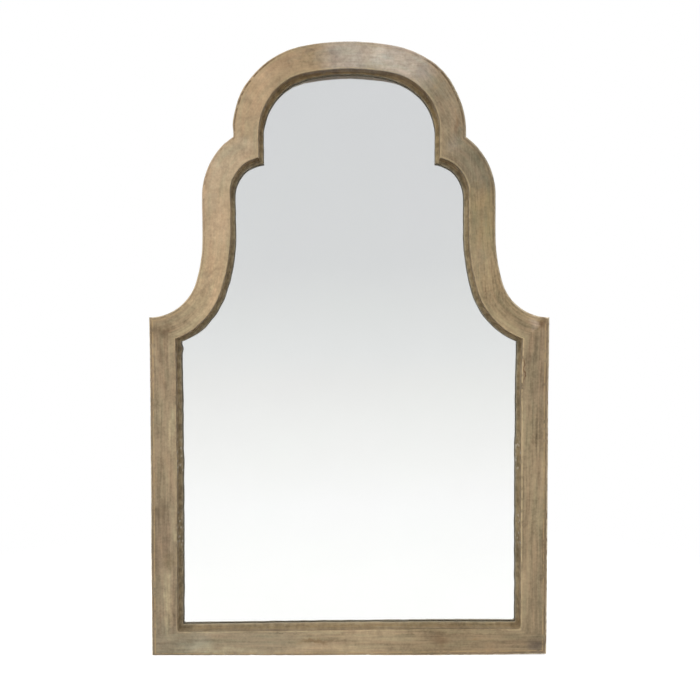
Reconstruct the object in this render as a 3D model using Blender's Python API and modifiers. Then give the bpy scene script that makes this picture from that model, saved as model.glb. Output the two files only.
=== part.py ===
"""A wall mirror with a cathedral arch outline in a carved wooden frame, in metres.

The frame is glued up from eight boards, doweled at the joints, and carved to one moulding.
The glass drops in from behind, on two pads, and a foam sheet and a screwed panel hold it.
Two ring hangers carry the mirror, and four rubber pads keep it off the wall.
+Z is up, the front faces -Y and +X is to the viewer's right. The origin is under the middle
of the whole mirror, at the height of its base.
"""

import math

import bmesh
import bpy
from mathutils import Matrix, Vector

# Outline of the frame, seen from the front: the top arch, and what steps out below it
ARCH_WIDTH = 0.384
LOBE_STEP = 0.049
SHOULDER_LEDGE = 0.090
SHOULDER_HEIGHT = 0.566
COVE_RISE = 0.140
WAIST_RISE = 0.061
LOBE_RADIUS = 0.116
CUSP_RISE = 0.0075
CROWN_RISE = 0.147
LOBE_TUCK = 0.012
COVE_RADIUS_SHARE = 0.905
HAUNCH_RADIUS_SHARE = 0.965

# Section of the moulding
FRAME_DEPTH = 0.035
FACE_WIDTH = 0.0435
LIP_WIDTH = 0.0055
STEP_DEPTH = 0.019
LIP_THICKNESS = 0.0045
EDGE_ROUND = 0.004
ARRIS_ROUND = 0.0015
LIP_ROUND = 0.0015
GLASS_REBATE = 0.008
PANEL_REBATE = 0.017

# What the frame holds
GLASS_THICKNESS = 0.004
GLASS_EDGE_GAP = 0.002
PANEL_THICKNESS = 0.004
PANEL_EDGE_GAP = 0.001
PAD_LENGTH = 0.030
PAD_PLACE_SHARE = 0.6

# Glued joints and their dowels
GLUE_LINE = 0.0003
DOWEL_RADIUS = 0.004
DOWEL_LENGTH = 0.028
DOWEL_CHAMFER = 0.001
DOWEL_END_ROOM = 0.001
DOWEL_DEPTH = 0.0125
CROWN_JOINT_SHARE = 0.7
DOWEL_SHARES = {
    "mitre": (0.45, 0.70),
    "neck": (0.42, 0.68),
    "cusp": (0.27, 0.50),
    "arch": (0.28, 0.62),
}

# Countersunk panel screws
SCREW_RADIUS = 0.00175
SCREW_LENGTH = 0.016
SCREW_HEAD_RADIUS = 0.0035
SCREW_HEAD_RIM = 0.0004
SCREW_POINT = 0.003
SCREW_SINK = 0.0003
RECESS_LENGTH = 0.0036
RECESS_WIDTH = 0.0009
RECESS_DEPTH = 0.0012
SCREW_PLACE_SHARES = {
    "base": ("base", 0.52),
    "stile_low": ("side", 0.28),
    "stile_high": ("side", 0.75),
    "cove": ("cove", 0.50),
    "waist": ("waist", 0.80),
    "haunch": ("haunch", 0.42),
}

# Strap hangers and their rings
STRAP_WIDTH = 0.014
STRAP_LENGTH = 0.048
STRAP_THICKNESS = 0.0012
RING_WIRE_RADIUS = 0.0015
RING_WIDTH = 0.019
RING_LENGTH = 0.018
RING_CORNER = 0.002
KNUCKLE_PLAY = 0.00025
KNUCKLE_ABOVE_WAIST = 0.044
STRAP_HOLE_DROPS = (0.025, 0.040)
STRAP_SCREW_LENGTH = 0.018
STRAP_SCREW_HEAD_HEIGHT = 0.0018

# Rubber wall pads
WALL_PAD_RADIUS = 0.009
WALL_PAD_THICKNESS = 0.007
WALL_PAD_ROUND = 0.001
WALL_PAD_INSET = 0.0125
WALL_PAD_CROWN_SHARE = 0.5

# Clearance between pieces that touch, how far a cutter runs past what it cuts, and what is welded
FIT_GAP = 0.0003
OVERRUN = 0.010
WELD_DISTANCE = 0.000003
FLAT_ANGLE = math.radians(0.1)

# Facets
RUN_STEPS = {
    "base": 1,
    "side": 1,
    "cove": 9,
    "sweep": 3,
    "waist": 1,
    "lobe": 8,
    "drop": 1,
    "haunch": 13,
    "crown": 3,
}
ROUND_STEPS = 2
SCREW_DOME_STEPS = 3
KNUCKLE_STEPS = 15
TURNED_STEPS = 12
PAD_STEPS = 20
RING_ARC_STEPS = 14
RING_CORNER_STEPS = 3

# Sizes that follow from those above
ARCH_HALF = ARCH_WIDTH / 2
WAIST_HALF = ARCH_HALF + LOBE_STEP
HALF_WIDTH = WAIST_HALF + SHOULDER_LEDGE
COVE_TOP = SHOULDER_HEIGHT + COVE_RISE
WAIST_TOP = COVE_TOP + WAIST_RISE
CUSP_HEIGHT = WAIST_TOP + math.sqrt(LOBE_RADIUS**2 - (LOBE_RADIUS - LOBE_STEP) ** 2)
HAUNCH_HEIGHT = CUSP_HEIGHT + CUSP_RISE
FRAME_HEIGHT = HAUNCH_HEIGHT + CROWN_RISE
MEMBER_WIDTH = FACE_WIDTH + LIP_WIDTH
GLASS_POCKET = MEMBER_WIDTH - GLASS_REBATE
PANEL_POCKET = GLASS_POCKET - PANEL_REBATE

FRONT_Y = -(FRAME_DEPTH + FIT_GAP + WALL_PAD_THICKNESS) / 2
BACK_Y = FRONT_Y + FRAME_DEPTH
LIP_BACK = STEP_DEPTH + LIP_THICKNESS
GLASS_FRONT = LIP_BACK + FIT_GAP
GLASS_BACK = GLASS_FRONT + GLASS_THICKNESS
PANEL_FRONT = FRAME_DEPTH - PANEL_THICKNESS
PANEL_SEAT = PANEL_FRONT - FIT_GAP

KNUCKLE_RADIUS = RING_WIRE_RADIUS + KNUCKLE_PLAY + STRAP_THICKNESS
STRAP_UNDERSIDE = BACK_Y + FIT_GAP
RING_AXIS_Y = STRAP_UNDERSIDE + KNUCKLE_RADIUS
RING_AXIS_X = WAIST_HALF - PANEL_POCKET / 2
RING_AXIS_Z = COVE_TOP + KNUCKLE_ABOVE_WAIST


def clear_scene():
    """Empties the file, so that only this mirror is in it."""
    for obj in list(bpy.data.objects):
        bpy.data.objects.remove(obj)


def new_collection(name):
    """A collection in the scene."""
    made = bpy.data.collections.new(name)
    bpy.context.scene.collection.children.link(made)
    return made


def new_material(name, colour, roughness, metallic=0.0):
    """A plain surface for one kind of piece."""
    made = bpy.data.materials.new(name)
    made.use_nodes = True
    shader = made.node_tree.nodes["Principled BSDF"]
    shader.inputs["Base Color"].default_value = (*colour, 1.0)
    shader.inputs["Roughness"].default_value = roughness
    shader.inputs["Metallic"].default_value = metallic
    return made


def arc(centre, radius, start, end, steps):
    """Points on a circle from one angle to another, both ends included."""
    points = []
    for step in range(steps + 1):
        angle = start + (end - start) * step / steps
        points.append(centre + radius * Vector((math.cos(angle), math.sin(angle))))
    return points


def straight(start, end, steps):
    """Points on a straight line, both ends included."""
    return [start.lerp(end, step / steps) for step in range(steps + 1)]


def outline_runs(offset):
    """The right half of the outline as named runs, this far inside the frame's outer edge."""
    side = HALF_WIDTH - offset

    cove_radius = COVE_RADIUS_SHARE * SHOULDER_LEDGE
    cove_centre = Vector((HALF_WIDTH, SHOULDER_HEIGHT + cove_radius))
    rise = COVE_TOP - cove_centre.y
    sweep_radius = (SHOULDER_LEDGE**2 + rise**2 - cove_radius**2) / (
        2 * (SHOULDER_LEDGE - cove_radius)
    )
    sweep_centre = Vector((WAIST_HALF + sweep_radius, COVE_TOP))
    meeting = math.pi + math.atan2(rise, sweep_centre.x - cove_centre.x)
    corner_angle = -math.pi / 2 - math.asin(offset / (cove_radius + offset))

    tuck = LOBE_TUCK * offset / MEMBER_WIDTH
    lobe_radius = LOBE_RADIUS - offset - tuck
    lobe_centre = Vector((WAIST_HALF - offset - lobe_radius, WAIST_TOP))
    cusp_x = ARCH_HALF - offset
    cusp_angle = math.acos((cusp_x - lobe_centre.x) / lobe_radius)

    haunch_radius = HAUNCH_RADIUS_SHARE * CROWN_RISE
    haunch_centre = Vector((ARCH_HALF - haunch_radius, HAUNCH_HEIGHT))
    crown_radius = (haunch_centre.x**2 + CROWN_RISE**2 - haunch_radius**2) / (
        2 * (CROWN_RISE - haunch_radius)
    )
    crown_centre = Vector((0, FRAME_HEIGHT - crown_radius))
    spring = math.atan2(HAUNCH_HEIGHT - crown_centre.y, haunch_centre.x)

    cove = arc(
        cove_centre, cove_radius + offset, corner_angle, meeting - 2 * math.pi, RUN_STEPS["cove"]
    )
    sweep = arc(sweep_centre, sweep_radius + offset, meeting, math.pi, RUN_STEPS["sweep"])
    lobe = arc(lobe_centre, lobe_radius, 0, cusp_angle, RUN_STEPS["lobe"])
    haunch = arc(haunch_centre, haunch_radius - offset, 0, spring, RUN_STEPS["haunch"])
    crown = arc(crown_centre, crown_radius - offset, spring, math.pi / 2, RUN_STEPS["crown"])
    foot = Vector((side, offset))
    return {
        "base": straight(Vector((0, offset)), foot, RUN_STEPS["base"]),
        "side": straight(foot, cove[0], RUN_STEPS["side"]),
        "cove": cove,
        "sweep": sweep,
        "waist": straight(sweep[-1], lobe[0], RUN_STEPS["waist"]),
        "lobe": lobe,
        "drop": straight(lobe[-1], haunch[0], RUN_STEPS["drop"]),
        "haunch": haunch,
        "crown": crown,
    }


def mirrored(outline):
    """An outline on the other side of the mirror's middle."""
    return [Vector((-point.x, point.y)) for point in reversed(outline)]


def full_outline(offset):
    """The whole outline, anticlockwise from the right foot."""
    right = []
    for name, run in outline_runs(offset).items():
        if name != "base":
            right += run[:-1]
    top = Vector((0, FRAME_HEIGHT - offset))
    return [*right, top, *mirrored(right)]


def point_on(run_name, share, offset):
    """The point at a share of the way along a run of the right half."""
    run = outline_runs(offset)[run_name]
    along = share * (len(run) - 1)
    index = min(int(along), len(run) - 2)
    return run[index].lerp(run[index + 1], along - index)


def moulding():
    """The frame's section as (distance in from the outer edge, depth behind the face)."""
    edge = arc(Vector((EDGE_ROUND, EDGE_ROUND)), EDGE_ROUND, math.pi, 1.5 * math.pi, ROUND_STEPS)
    arris_centre = Vector((FACE_WIDTH - ARRIS_ROUND, ARRIS_ROUND))
    arris = arc(arris_centre, ARRIS_ROUND, -math.pi / 2, 0, ROUND_STEPS)
    lip_centre = Vector((MEMBER_WIDTH - LIP_ROUND, STEP_DEPTH + LIP_ROUND))
    lip = arc(lip_centre, LIP_ROUND, -math.pi / 2, 0, ROUND_STEPS)
    return [
        Vector((0, FRAME_DEPTH)),
        *edge,
        *arris,
        Vector((FACE_WIDTH, STEP_DEPTH)),
        *lip,
        Vector((MEMBER_WIDTH, LIP_BACK)),
        Vector((GLASS_POCKET, LIP_BACK)),
        Vector((GLASS_POCKET, PANEL_SEAT)),
        Vector((PANEL_POCKET, PANEL_SEAT)),
        Vector((PANEL_POCKET, FRAME_DEPTH)),
    ]


def carved_ring():
    """The moulding lofted round the outline, with its mitres and cusps, as one closed ring."""
    section = moulding()
    loops = [full_outline(place.x) for place in section]
    mesh = bmesh.new()
    rows = []
    for station in range(len(loops[0])):
        row = []
        for place, loop in zip(section, loops):
            point = loop[station]
            row.append(mesh.verts.new((point.x, FRONT_Y + place.y, point.y)))
        rows.append(row)
    for station, row in enumerate(rows):
        following = rows[(station + 1) % len(rows)]
        for index in range(len(section)):
            after = (index + 1) % len(section)
            mesh.faces.new((row[index], row[after], following[after], following[index]))
    bmesh.ops.recalc_face_normals(mesh, faces=mesh.faces)
    data = bpy.data.meshes.new("carved_ring")
    mesh.to_mesh(data)
    mesh.free()
    return data


def add(name, data, collection, material=None, parent=None):
    """An object with this data in a collection."""
    obj = bpy.data.objects.new(name, data)
    collection.objects.link(obj)
    obj.parent = parent
    if material is not None:
        data.materials.clear()
        data.materials.append(material)
    if data.id_type == "MESH":
        data.shade_smooth()
        data.set_sharp_from_angle(angle=math.radians(30))
    return obj


def as_helper(obj):
    """Marks a cutter, which is no piece of the mirror."""
    obj.hide_render = True
    obj.display_type = "WIRE"
    return obj


def mesh_of(obj):
    """The evaluated shape of an object as a welded mesh at its own origin; the object goes."""
    graph = bpy.context.evaluated_depsgraph_get()
    data = bpy.data.meshes.new_from_object(obj.evaluated_get(graph))
    work = bmesh.new()
    work.from_mesh(data)
    bmesh.ops.remove_doubles(work, verts=work.verts, dist=WELD_DISTANCE)
    work.to_mesh(data)
    work.free()
    bpy.data.objects.remove(obj)
    return data


def flat_shape(outline, thickness):
    """A mesh of a flat outline, thickened evenly to both sides of its own plane."""
    curve = bpy.data.curves.new("outline", "CURVE")
    curve.dimensions = "2D"
    curve.fill_mode = "BOTH"
    curve.extrude = thickness / 2
    spline = curve.splines.new("POLY")
    spline.points.add(len(outline) - 1)
    for place, point in zip(spline.points, outline):
        place.co = (point.x, point.y, 0, 1)
    spline.use_cyclic_u = True
    obj = bpy.data.objects.new("outline", curve)
    bpy.context.scene.collection.objects.link(obj)
    data = mesh_of(obj)
    work = bmesh.new()
    work.from_mesh(data)
    bmesh.ops.dissolve_limit(work, angle_limit=FLAT_ANGLE, verts=work.verts, edges=work.edges)
    work.to_mesh(data)
    work.free()
    return data


def upright_plate(outline, front_depth, thickness):
    """A mesh of an outline in the plane of the mirror, from this depth behind the face."""
    data = flat_shape(outline, thickness)
    data.transform(Matrix.Rotation(math.pi / 2, 4, "X"))
    middle = FRONT_Y + front_depth + thickness / 2
    data.transform(Matrix.Translation((0, middle, 0)))
    return data


def turned_shape(profile, steps):
    """A mesh turned about Z from (radius, height) places that run from the top down."""
    data = bpy.data.meshes.new("profile")
    verts = [(radius, 0, height) for radius, height in profile]
    edges = [(index, index + 1) for index in range(len(profile) - 1)]
    data.from_pydata(verts, edges, [])
    obj = bpy.data.objects.new("profile", data)
    bpy.context.scene.collection.objects.link(obj)
    turn = obj.modifiers.new("turn", "SCREW")
    turn.steps = steps
    turn.render_steps = steps
    turn.use_merge_vertices = True
    turn.merge_threshold = WELD_DISTANCE
    return mesh_of(obj)


def rod_shape(radius, length, steps):
    """A mesh of a plain round rod along Z, centred."""
    work = bmesh.new()
    bmesh.ops.create_cone(
        work, cap_ends=True, segments=steps, radius1=radius, radius2=radius, depth=length
    )
    data = bpy.data.meshes.new("rod")
    work.to_mesh(data)
    work.free()
    return data


def peg_shape(radius, length, chamfer, steps):
    """A mesh of a round peg along Z, centred, with chamfered ends."""
    end = length / 2
    upper = [(0, end), (radius - chamfer, end), (radius, end - chamfer)]
    lower = [(place[0], -place[1]) for place in reversed(upper)]
    return turned_shape(upper + lower, steps)


def box_shape(size):
    """A mesh of a box of this size, centred."""
    work = bmesh.new()
    bmesh.ops.create_cube(work, size=1)
    bmesh.ops.scale(work, vec=size, verts=work.verts)
    data = bpy.data.meshes.new("box")
    work.to_mesh(data)
    work.free()
    return data


def keep_inside(obj, block):
    """Keeps only the part of a piece that lies inside a block."""
    modifier = obj.modifiers.new("keep", "BOOLEAN")
    modifier.operation = "INTERSECT"
    modifier.object = block
    modifier.solver = "EXACT"


def cut_with(obj, tools):
    """Cuts a piece with all the cutters of one collection at once."""
    modifier = obj.modifiers.new("cut", "BOOLEAN")
    modifier.operation = "DIFFERENCE"
    modifier.operand_type = "COLLECTION"
    modifier.collection = tools
    modifier.solver = "EXACT"


def holes_for(obj, cutters):
    """The collection of cutters that make the holes in this piece."""
    name = f"{obj.name}_holes"
    made = cutters.children.get(name)
    if made is None:
        made = bpy.data.collections.new(name)
        cutters.children.link(made)
        cut_with(obj, made)
    return made


def joint_lines():
    """Each glued joint of the right half as (place on the outer edge, place on the sight edge)."""
    lines = {}
    for name, run_name, share in (
        ("mitre", "side", 0),
        ("neck", "cove", 0),
        ("cusp", "lobe", 1),
        ("arch", "haunch", CROWN_JOINT_SHARE),
    ):
        lines[name] = (point_on(run_name, share, 0), point_on(run_name, share, MEMBER_WIDTH))
    return lines


def saw_cut(line, towards_crown):
    """A joint's two ends past the wood, moved half a glue line to one side of the joint."""
    outer, inner = line
    along = (outer - inner).normalized()
    across = Vector((-along.y, along.x)) * GLUE_LINE / 2
    if not towards_crown:
        across = -across
    return outer + along * OVERRUN + across, inner - along * OVERRUN + across


def board_regions():
    """The part of the mirror's plane that each board of the right half takes up."""
    lines = joint_lines()
    order = ("mitre", "neck", "cusp", "arch")
    boards = ("stile", "shoulder", "haunch")
    outside = HALF_WIDTH + 3 * OVERRUN
    regions = {}
    for board, lower, upper in zip(boards, order, order[1:]):
        low_outer, low_inner = saw_cut(lines[lower], True)
        high_outer, high_inner = saw_cut(lines[upper], False)
        regions[board] = [
            low_inner,
            low_outer,
            Vector((outside, low_outer.y)),
            Vector((outside, high_outer.y)),
            high_outer,
            high_inner,
            Vector((0, high_inner.y)),
            Vector((0, low_inner.y)),
        ]
    return regions


def middle_regions():
    """The parts of the plane that the bottom rail and the crown board take up."""
    lines = joint_lines()
    foot_outer, foot_inner = saw_cut(lines["mitre"], False)
    top_outer, top_inner = saw_cut(lines["arch"], True)
    below = Vector((foot_outer.x, foot_outer.y - OVERRUN))
    above = Vector((top_outer.x, FRAME_HEIGHT + OVERRUN))
    rail = [below, foot_outer, foot_inner]
    crown = [top_inner, top_outer, above]
    return {
        "bottom_rail": rail + mirrored(rail),
        "crown": crown + mirrored(crown),
    }


def make_boards(parts, cutters, wood, parent):
    """The eight boards of the frame."""
    ring = carved_ring()
    regions = middle_regions()
    for board, region in board_regions().items():
        regions[f"right_{board}"] = region
        regions[f"left_{board}"] = mirrored(region)
    boards = {}
    for name, region in regions.items():
        board = add(name, ring.copy(), parts, wood, parent)
        block = upright_plate(region, -OVERRUN, FRAME_DEPTH + 2 * OVERRUN)
        keep = as_helper(add(f"{name}_region", block, cutters))
        keep_inside(board, keep)
        boards[name] = board
    return boards


def dowel_places():
    """Each dowel of the right half: its name, joint, middle and direction."""
    places = []
    for joint, line in joint_lines().items():
        outer, inner = line
        along = (inner - outer).normalized()
        direction = Vector((-along.y, 0, along.x))
        for label, share in zip(("outer", "inner"), DOWEL_SHARES[joint]):
            middle = outer.lerp(inner, share)
            centre = Vector((middle.x, FRONT_Y + DOWEL_DEPTH, middle.y))
            places.append((f"{joint}_dowel_{label}", joint, centre, direction))
    return places


def make_dowels(parts, cutters, boards, wood, parent):
    """A pair of dowels across each joint, and the holes that hold them."""
    neighbours = {
        "mitre": ("bottom_rail", "stile"),
        "neck": ("stile", "shoulder"),
        "cusp": ("shoulder", "haunch"),
        "arch": ("haunch", "crown"),
    }
    peg = peg_shape(DOWEL_RADIUS, DOWEL_LENGTH, DOWEL_CHAMFER, TURNED_STEPS)
    hole = rod_shape(DOWEL_RADIUS + FIT_GAP, DOWEL_LENGTH + 2 * DOWEL_END_ROOM, TURNED_STEPS)
    for side, sign in (("right", 1), ("left", -1)):
        for name, joint, centre, direction in dowel_places():
            place = Vector((sign * centre.x, centre.y, centre.z))
            lie = Vector((sign * direction.x, 0, direction.z)).to_track_quat("Z", "Y")
            dowel = add(f"{side}_{name}", peg.copy(), parts, wood, parent)
            cutter = as_helper(add(f"{side}_{name}_hole", hole.copy(), cutters))
            for obj in (dowel, cutter):
                obj.location = place
                obj.rotation_mode = "QUATERNION"
                obj.rotation_quaternion = lie
            for board in neighbours[joint]:
                holed = boards.get(board) or boards[f"{side}_{board}"]
                holes_for(holed, cutters).objects.link(cutter)


def make_glazing(parts, materials, parent):
    """The mirror glass, its two pads and the foam sheet behind it."""
    glass_offset = GLASS_POCKET + GLASS_EDGE_GAP
    outline = full_outline(glass_offset)
    glass = upright_plate(outline, GLASS_FRONT, GLASS_THICKNESS)
    add("mirror_glass", glass, parts, materials["glass"], parent)
    foam_front = GLASS_BACK + FIT_GAP
    foam = upright_plate(outline, foam_front, PANEL_FRONT - FIT_GAP - foam_front)
    add("foam_sheet", foam, parts, materials["foam"], parent)
    size = (PAD_LENGTH, GLASS_THICKNESS, GLASS_EDGE_GAP - 2 * FIT_GAP)
    pad_x = PAD_PLACE_SHARE * (HALF_WIDTH - GLASS_POCKET)
    for side, sign in (("right", 1), ("left", -1)):
        pad = add(f"{side}_glass_pad", box_shape(size), parts, materials["rubber"], parent)
        pad.location = (
            sign * pad_x,
            FRONT_Y + (GLASS_FRONT + GLASS_BACK) / 2,
            GLASS_POCKET + GLASS_EDGE_GAP / 2,
        )


def screw_mesh(profile, cutters, top):
    """A turned screw with a cross in its head, pointing down -Z."""
    blank = add("screw_blank", turned_shape(profile, TURNED_STEPS), cutters)
    recess = bpy.data.collections.new("screw_recess")
    bars = []
    for size in ((RECESS_LENGTH, RECESS_WIDTH), (RECESS_WIDTH, RECESS_LENGTH)):
        bar = add("recess_bar", box_shape((*size, 2 * RECESS_DEPTH)), recess)
        bar.location = (0, 0, top)
        bars.append(bar)
    cut_with(blank, recess)
    data = mesh_of(blank)
    for bar in bars:
        bpy.data.objects.remove(bar)
    bpy.data.collections.remove(recess)
    return data


def countersunk_profile(radius, head_radius, top):
    """A countersunk screw's side from its head down, from this height."""
    cone = head_radius - radius
    return [
        (0, top),
        (head_radius, top),
        (head_radius, top - SCREW_HEAD_RIM),
        (radius, top - SCREW_HEAD_RIM - cone),
    ]


def face_back(obj, x, y, z):
    """Turns a piece modelled along Z so that its top points to the wall, and puts it there."""
    obj.rotation_euler = (-math.pi / 2, 0, 0)
    obj.location = (x, y, z)


def make_panel(parts, cutters, boards, materials, parent):
    """The back panel, and the countersunk screws that hold it to the boards."""
    outline = full_outline(PANEL_POCKET + PANEL_EDGE_GAP)
    data = upright_plate(outline, PANEL_FRONT, PANEL_THICKNESS)
    panel = add("back_panel", data, parts, materials["panel"], parent)

    side = countersunk_profile(SCREW_RADIUS, SCREW_HEAD_RADIUS, 0)
    tip = [(SCREW_RADIUS, SCREW_POINT - SCREW_LENGTH), (0, -SCREW_LENGTH)]
    screw = screw_mesh(side + tip, cutters, 0)

    grown = countersunk_profile(SCREW_RADIUS + FIT_GAP, SCREW_HEAD_RADIUS + FIT_GAP, 0)
    mouth = [(0, OVERRUN), (SCREW_HEAD_RADIUS + FIT_GAP, OVERRUN)]
    bottom = -SCREW_LENGTH - FIT_GAP
    end = [(SCREW_RADIUS + FIT_GAP, bottom), (0, bottom)]
    hole = turned_shape(mouth + grown[2:] + end, TURNED_STEPS)

    board_of = {
        "base": "bottom_rail",
        "stile_low": "stile",
        "stile_high": "stile",
        "cove": "shoulder",
        "waist": "shoulder",
        "haunch": "haunch",
    }
    ledge = (GLASS_POCKET + PANEL_POCKET + PANEL_EDGE_GAP) / 2
    for side, sign in (("right", 1), ("left", -1)):
        for label, (run_name, share) in SCREW_PLACE_SHARES.items():
            place = point_on(run_name, share, ledge)
            name = f"{side}_panel_screw_{label}"
            piece = add(name, screw.copy(), parts, materials["zinc"], parent)
            face_back(piece, sign * place.x, BACK_Y - SCREW_SINK, place.y)
            cutter = as_helper(add(f"{name}_hole", hole.copy(), cutters))
            face_back(cutter, sign * place.x, BACK_Y - SCREW_SINK, place.y)
            holed = boards.get(board_of[label]) or boards[f"{side}_{board_of[label]}"]
            holes_for(panel, cutters).objects.link(cutter)
            holes_for(holed, cutters).objects.link(cutter)


def strap_side():
    """The strap seen from its edge: the flat plate and the knuckle rolled from its top."""
    plate_meets = math.pi + math.asin((KNUCKLE_RADIUS - STRAP_THICKNESS) / KNUCKLE_RADIUS)
    centre = Vector((0, KNUCKLE_RADIUS))
    knuckle = arc(centre, KNUCKLE_RADIUS, -math.pi / 2, plate_meets, KNUCKLE_STEPS)
    foot = -STRAP_LENGTH
    return [Vector((foot, 0)), *knuckle, Vector((foot, STRAP_THICKNESS))]


def strap_face():
    """The strap seen from behind, with its rounded foot."""
    half = STRAP_WIDTH / 2
    foot = arc(Vector((0, half - STRAP_LENGTH)), half, -math.pi, 0, TURNED_STEPS)
    return [*foot, Vector((half, OVERRUN)), Vector((-half, OVERRUN))]


def ring_points():
    """The middle line of a D-shaped ring that hangs from its straight bar, which is on X."""
    half = RING_WIDTH / 2
    corner = RING_CORNER
    depth = RING_LENGTH - half
    left = arc(Vector((corner - half, -corner)), corner, math.pi / 2, math.pi, RING_CORNER_STEPS)
    bow = arc(Vector((0, -depth)), half, math.pi, 2 * math.pi, RING_ARC_STEPS)
    right = arc(Vector((half - corner, -corner)), corner, 0, math.pi / 2, RING_CORNER_STEPS)
    return [*left, *bow, *right]


def make_ring(name, parts, material, parent, place):
    """A wire ring whose origin lies on the middle of its bar, on the axis that it swings about."""
    curve = bpy.data.curves.new(name, "CURVE")
    curve.dimensions = "3D"
    curve.bevel_depth = RING_WIRE_RADIUS
    curve.bevel_resolution = 2
    spline = curve.splines.new("POLY")
    outline = ring_points()
    spline.points.add(len(outline) - 1)
    for point, where in zip(spline.points, outline):
        point.co = (where.x, 0, where.y, 1)
    spline.use_cyclic_u = True
    curve.materials.append(material)
    ring = bpy.data.objects.new(name, curve)
    parts.objects.link(ring)
    ring.parent = parent
    ring.location = place
    return ring


def round_head_profile():
    """A round-headed screw's side, from the top of the head down, with the head's seat at 0."""
    dome = []
    for step in range(SCREW_DOME_STEPS + 1):
        angle = math.pi / 2 * step / SCREW_DOME_STEPS
        dome.append(
            (SCREW_HEAD_RADIUS * math.sin(angle), STRAP_SCREW_HEAD_HEIGHT * math.cos(angle))
        )
    shank_end = SCREW_POINT - STRAP_SCREW_LENGTH
    shank = [(SCREW_RADIUS, 0), (SCREW_RADIUS, shank_end), (0, -STRAP_SCREW_LENGTH)]
    return dome + shank


def make_hangers(parts, cutters, boards, materials, parent):
    """The two strap hangers, the rings that swing in them and the screws that hold them."""
    screw = screw_mesh(round_head_profile(), cutters, STRAP_SCREW_HEAD_HEIGHT)
    screw_hole = rod_shape(SCREW_RADIUS + FIT_GAP, 2 * (STRAP_SCREW_LENGTH + FIT_GAP), TURNED_STEPS)
    bore = rod_shape(RING_WIRE_RADIUS + KNUCKLE_PLAY, STRAP_WIDTH + 2 * OVERRUN, TURNED_STEPS)
    bore.transform(Matrix.Rotation(math.pi / 2, 4, "Y"))
    turn_upright = Matrix.Rotation(math.pi / 2, 4, "X")
    side_on = Matrix(((0, 0, 1, 0), (0, 1, 0, 0), (1, 0, 0, 0), (0, 0, 0, 1)))
    for side, sign in (("right", 1), ("left", -1)):
        x = sign * RING_AXIS_X
        # The turn swaps two axes, which mirrors the shape, so its faces are turned out again
        body = flat_shape(strap_side(), STRAP_WIDTH)
        body.transform(side_on)
        body.flip_normals()
        strap = add(f"{side}_hanger_strap", body, parts, materials["zinc"], parent)
        strap.location = (x, STRAP_UNDERSIDE, RING_AXIS_Z)
        face = flat_shape(strap_face(), 2 * OVERRUN)
        face.transform(turn_upright)
        outline = as_helper(add(f"{side}_strap_outline", face, cutters))
        outline.location = strap.location
        keep_inside(strap, outline)
        cutter = as_helper(add(f"{side}_strap_bore", bore.copy(), cutters))
        cutter.location = (x, RING_AXIS_Y, RING_AXIS_Z)
        holes_for(strap, cutters).objects.link(cutter)
        for label, drop in zip(("top", "bottom"), STRAP_HOLE_DROPS):
            z = RING_AXIS_Z - drop
            hole = as_helper(add(f"{side}_strap_hole_{label}", screw_hole.copy(), cutters))
            face_back(hole, x, STRAP_UNDERSIDE, z)
            holes_for(strap, cutters).objects.link(hole)
            holes_for(boards[f"{side}_shoulder"], cutters).objects.link(hole)
            name = f"{side}_strap_screw_{label}"
            piece = add(name, screw.copy(), parts, materials["zinc"], parent)
            face_back(piece, x, STRAP_UNDERSIDE + STRAP_THICKNESS + FIT_GAP, z)
        place = (x, RING_AXIS_Y, RING_AXIS_Z)
        make_ring(f"{side}_ring", parts, materials["zinc"], parent, place)


def make_wall_pads(parts, materials, parent):
    """Four rubber pads on the back, at the foot of each stile and on each haunch."""
    radius = WALL_PAD_RADIUS
    top = WALL_PAD_THICKNESS
    rim = WALL_PAD_ROUND
    profile = [(0, top), (radius - rim, top), (radius, top - rim), (radius, 0), (0, 0)]
    pad = turned_shape(profile, PAD_STEPS)
    foot = Vector((HALF_WIDTH - WALL_PAD_INSET, WALL_PAD_INSET))
    haunch = point_on("haunch", WALL_PAD_CROWN_SHARE, WALL_PAD_INSET)
    for side, sign in (("right", 1), ("left", -1)):
        for label, place in (("foot", foot), ("haunch", haunch)):
            name = f"{side}_wall_pad_{label}"
            piece = add(name, pad.copy(), parts, materials["rubber"], parent)
            face_back(piece, sign * place.x, BACK_Y + FIT_GAP, place.y)


def main():
    """Builds the mirror."""
    clear_scene()
    parts = new_collection("cathedral_arch_mirror")
    cutters = new_collection("cutters")
    materials = {
        "wood": new_material("brushed_wood", (0.33, 0.25, 0.165), 0.5),
        "dowel": new_material("beech_dowel", (0.56, 0.40, 0.24), 0.7),
        "glass": new_material("silvered_glass", (0.86, 0.88, 0.88), 0.02, 1.0),
        "foam": new_material("white_foam", (0.80, 0.80, 0.78), 0.9),
        "panel": new_material("fibreboard", (0.30, 0.19, 0.10), 0.8),
        "rubber": new_material("black_rubber", (0.03, 0.03, 0.03), 0.8),
        "zinc": new_material("zinc_steel", (0.62, 0.62, 0.60), 0.35, 1.0),
    }
    mirror = bpy.data.objects.new("mirror", None)
    parts.objects.link(mirror)
    boards = make_boards(parts, cutters, materials["wood"], mirror)
    make_dowels(parts, cutters, boards, materials["dowel"], mirror)
    make_glazing(parts, materials, mirror)
    make_panel(parts, cutters, boards, materials, mirror)
    make_hangers(parts, cutters, boards, materials, mirror)
    make_wall_pads(parts, materials, mirror)
    print(f"frame {2 * HALF_WIDTH:.4f} x {FRAME_HEIGHT:.4f} x {FRAME_DEPTH:.4f} m")


main()
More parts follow.
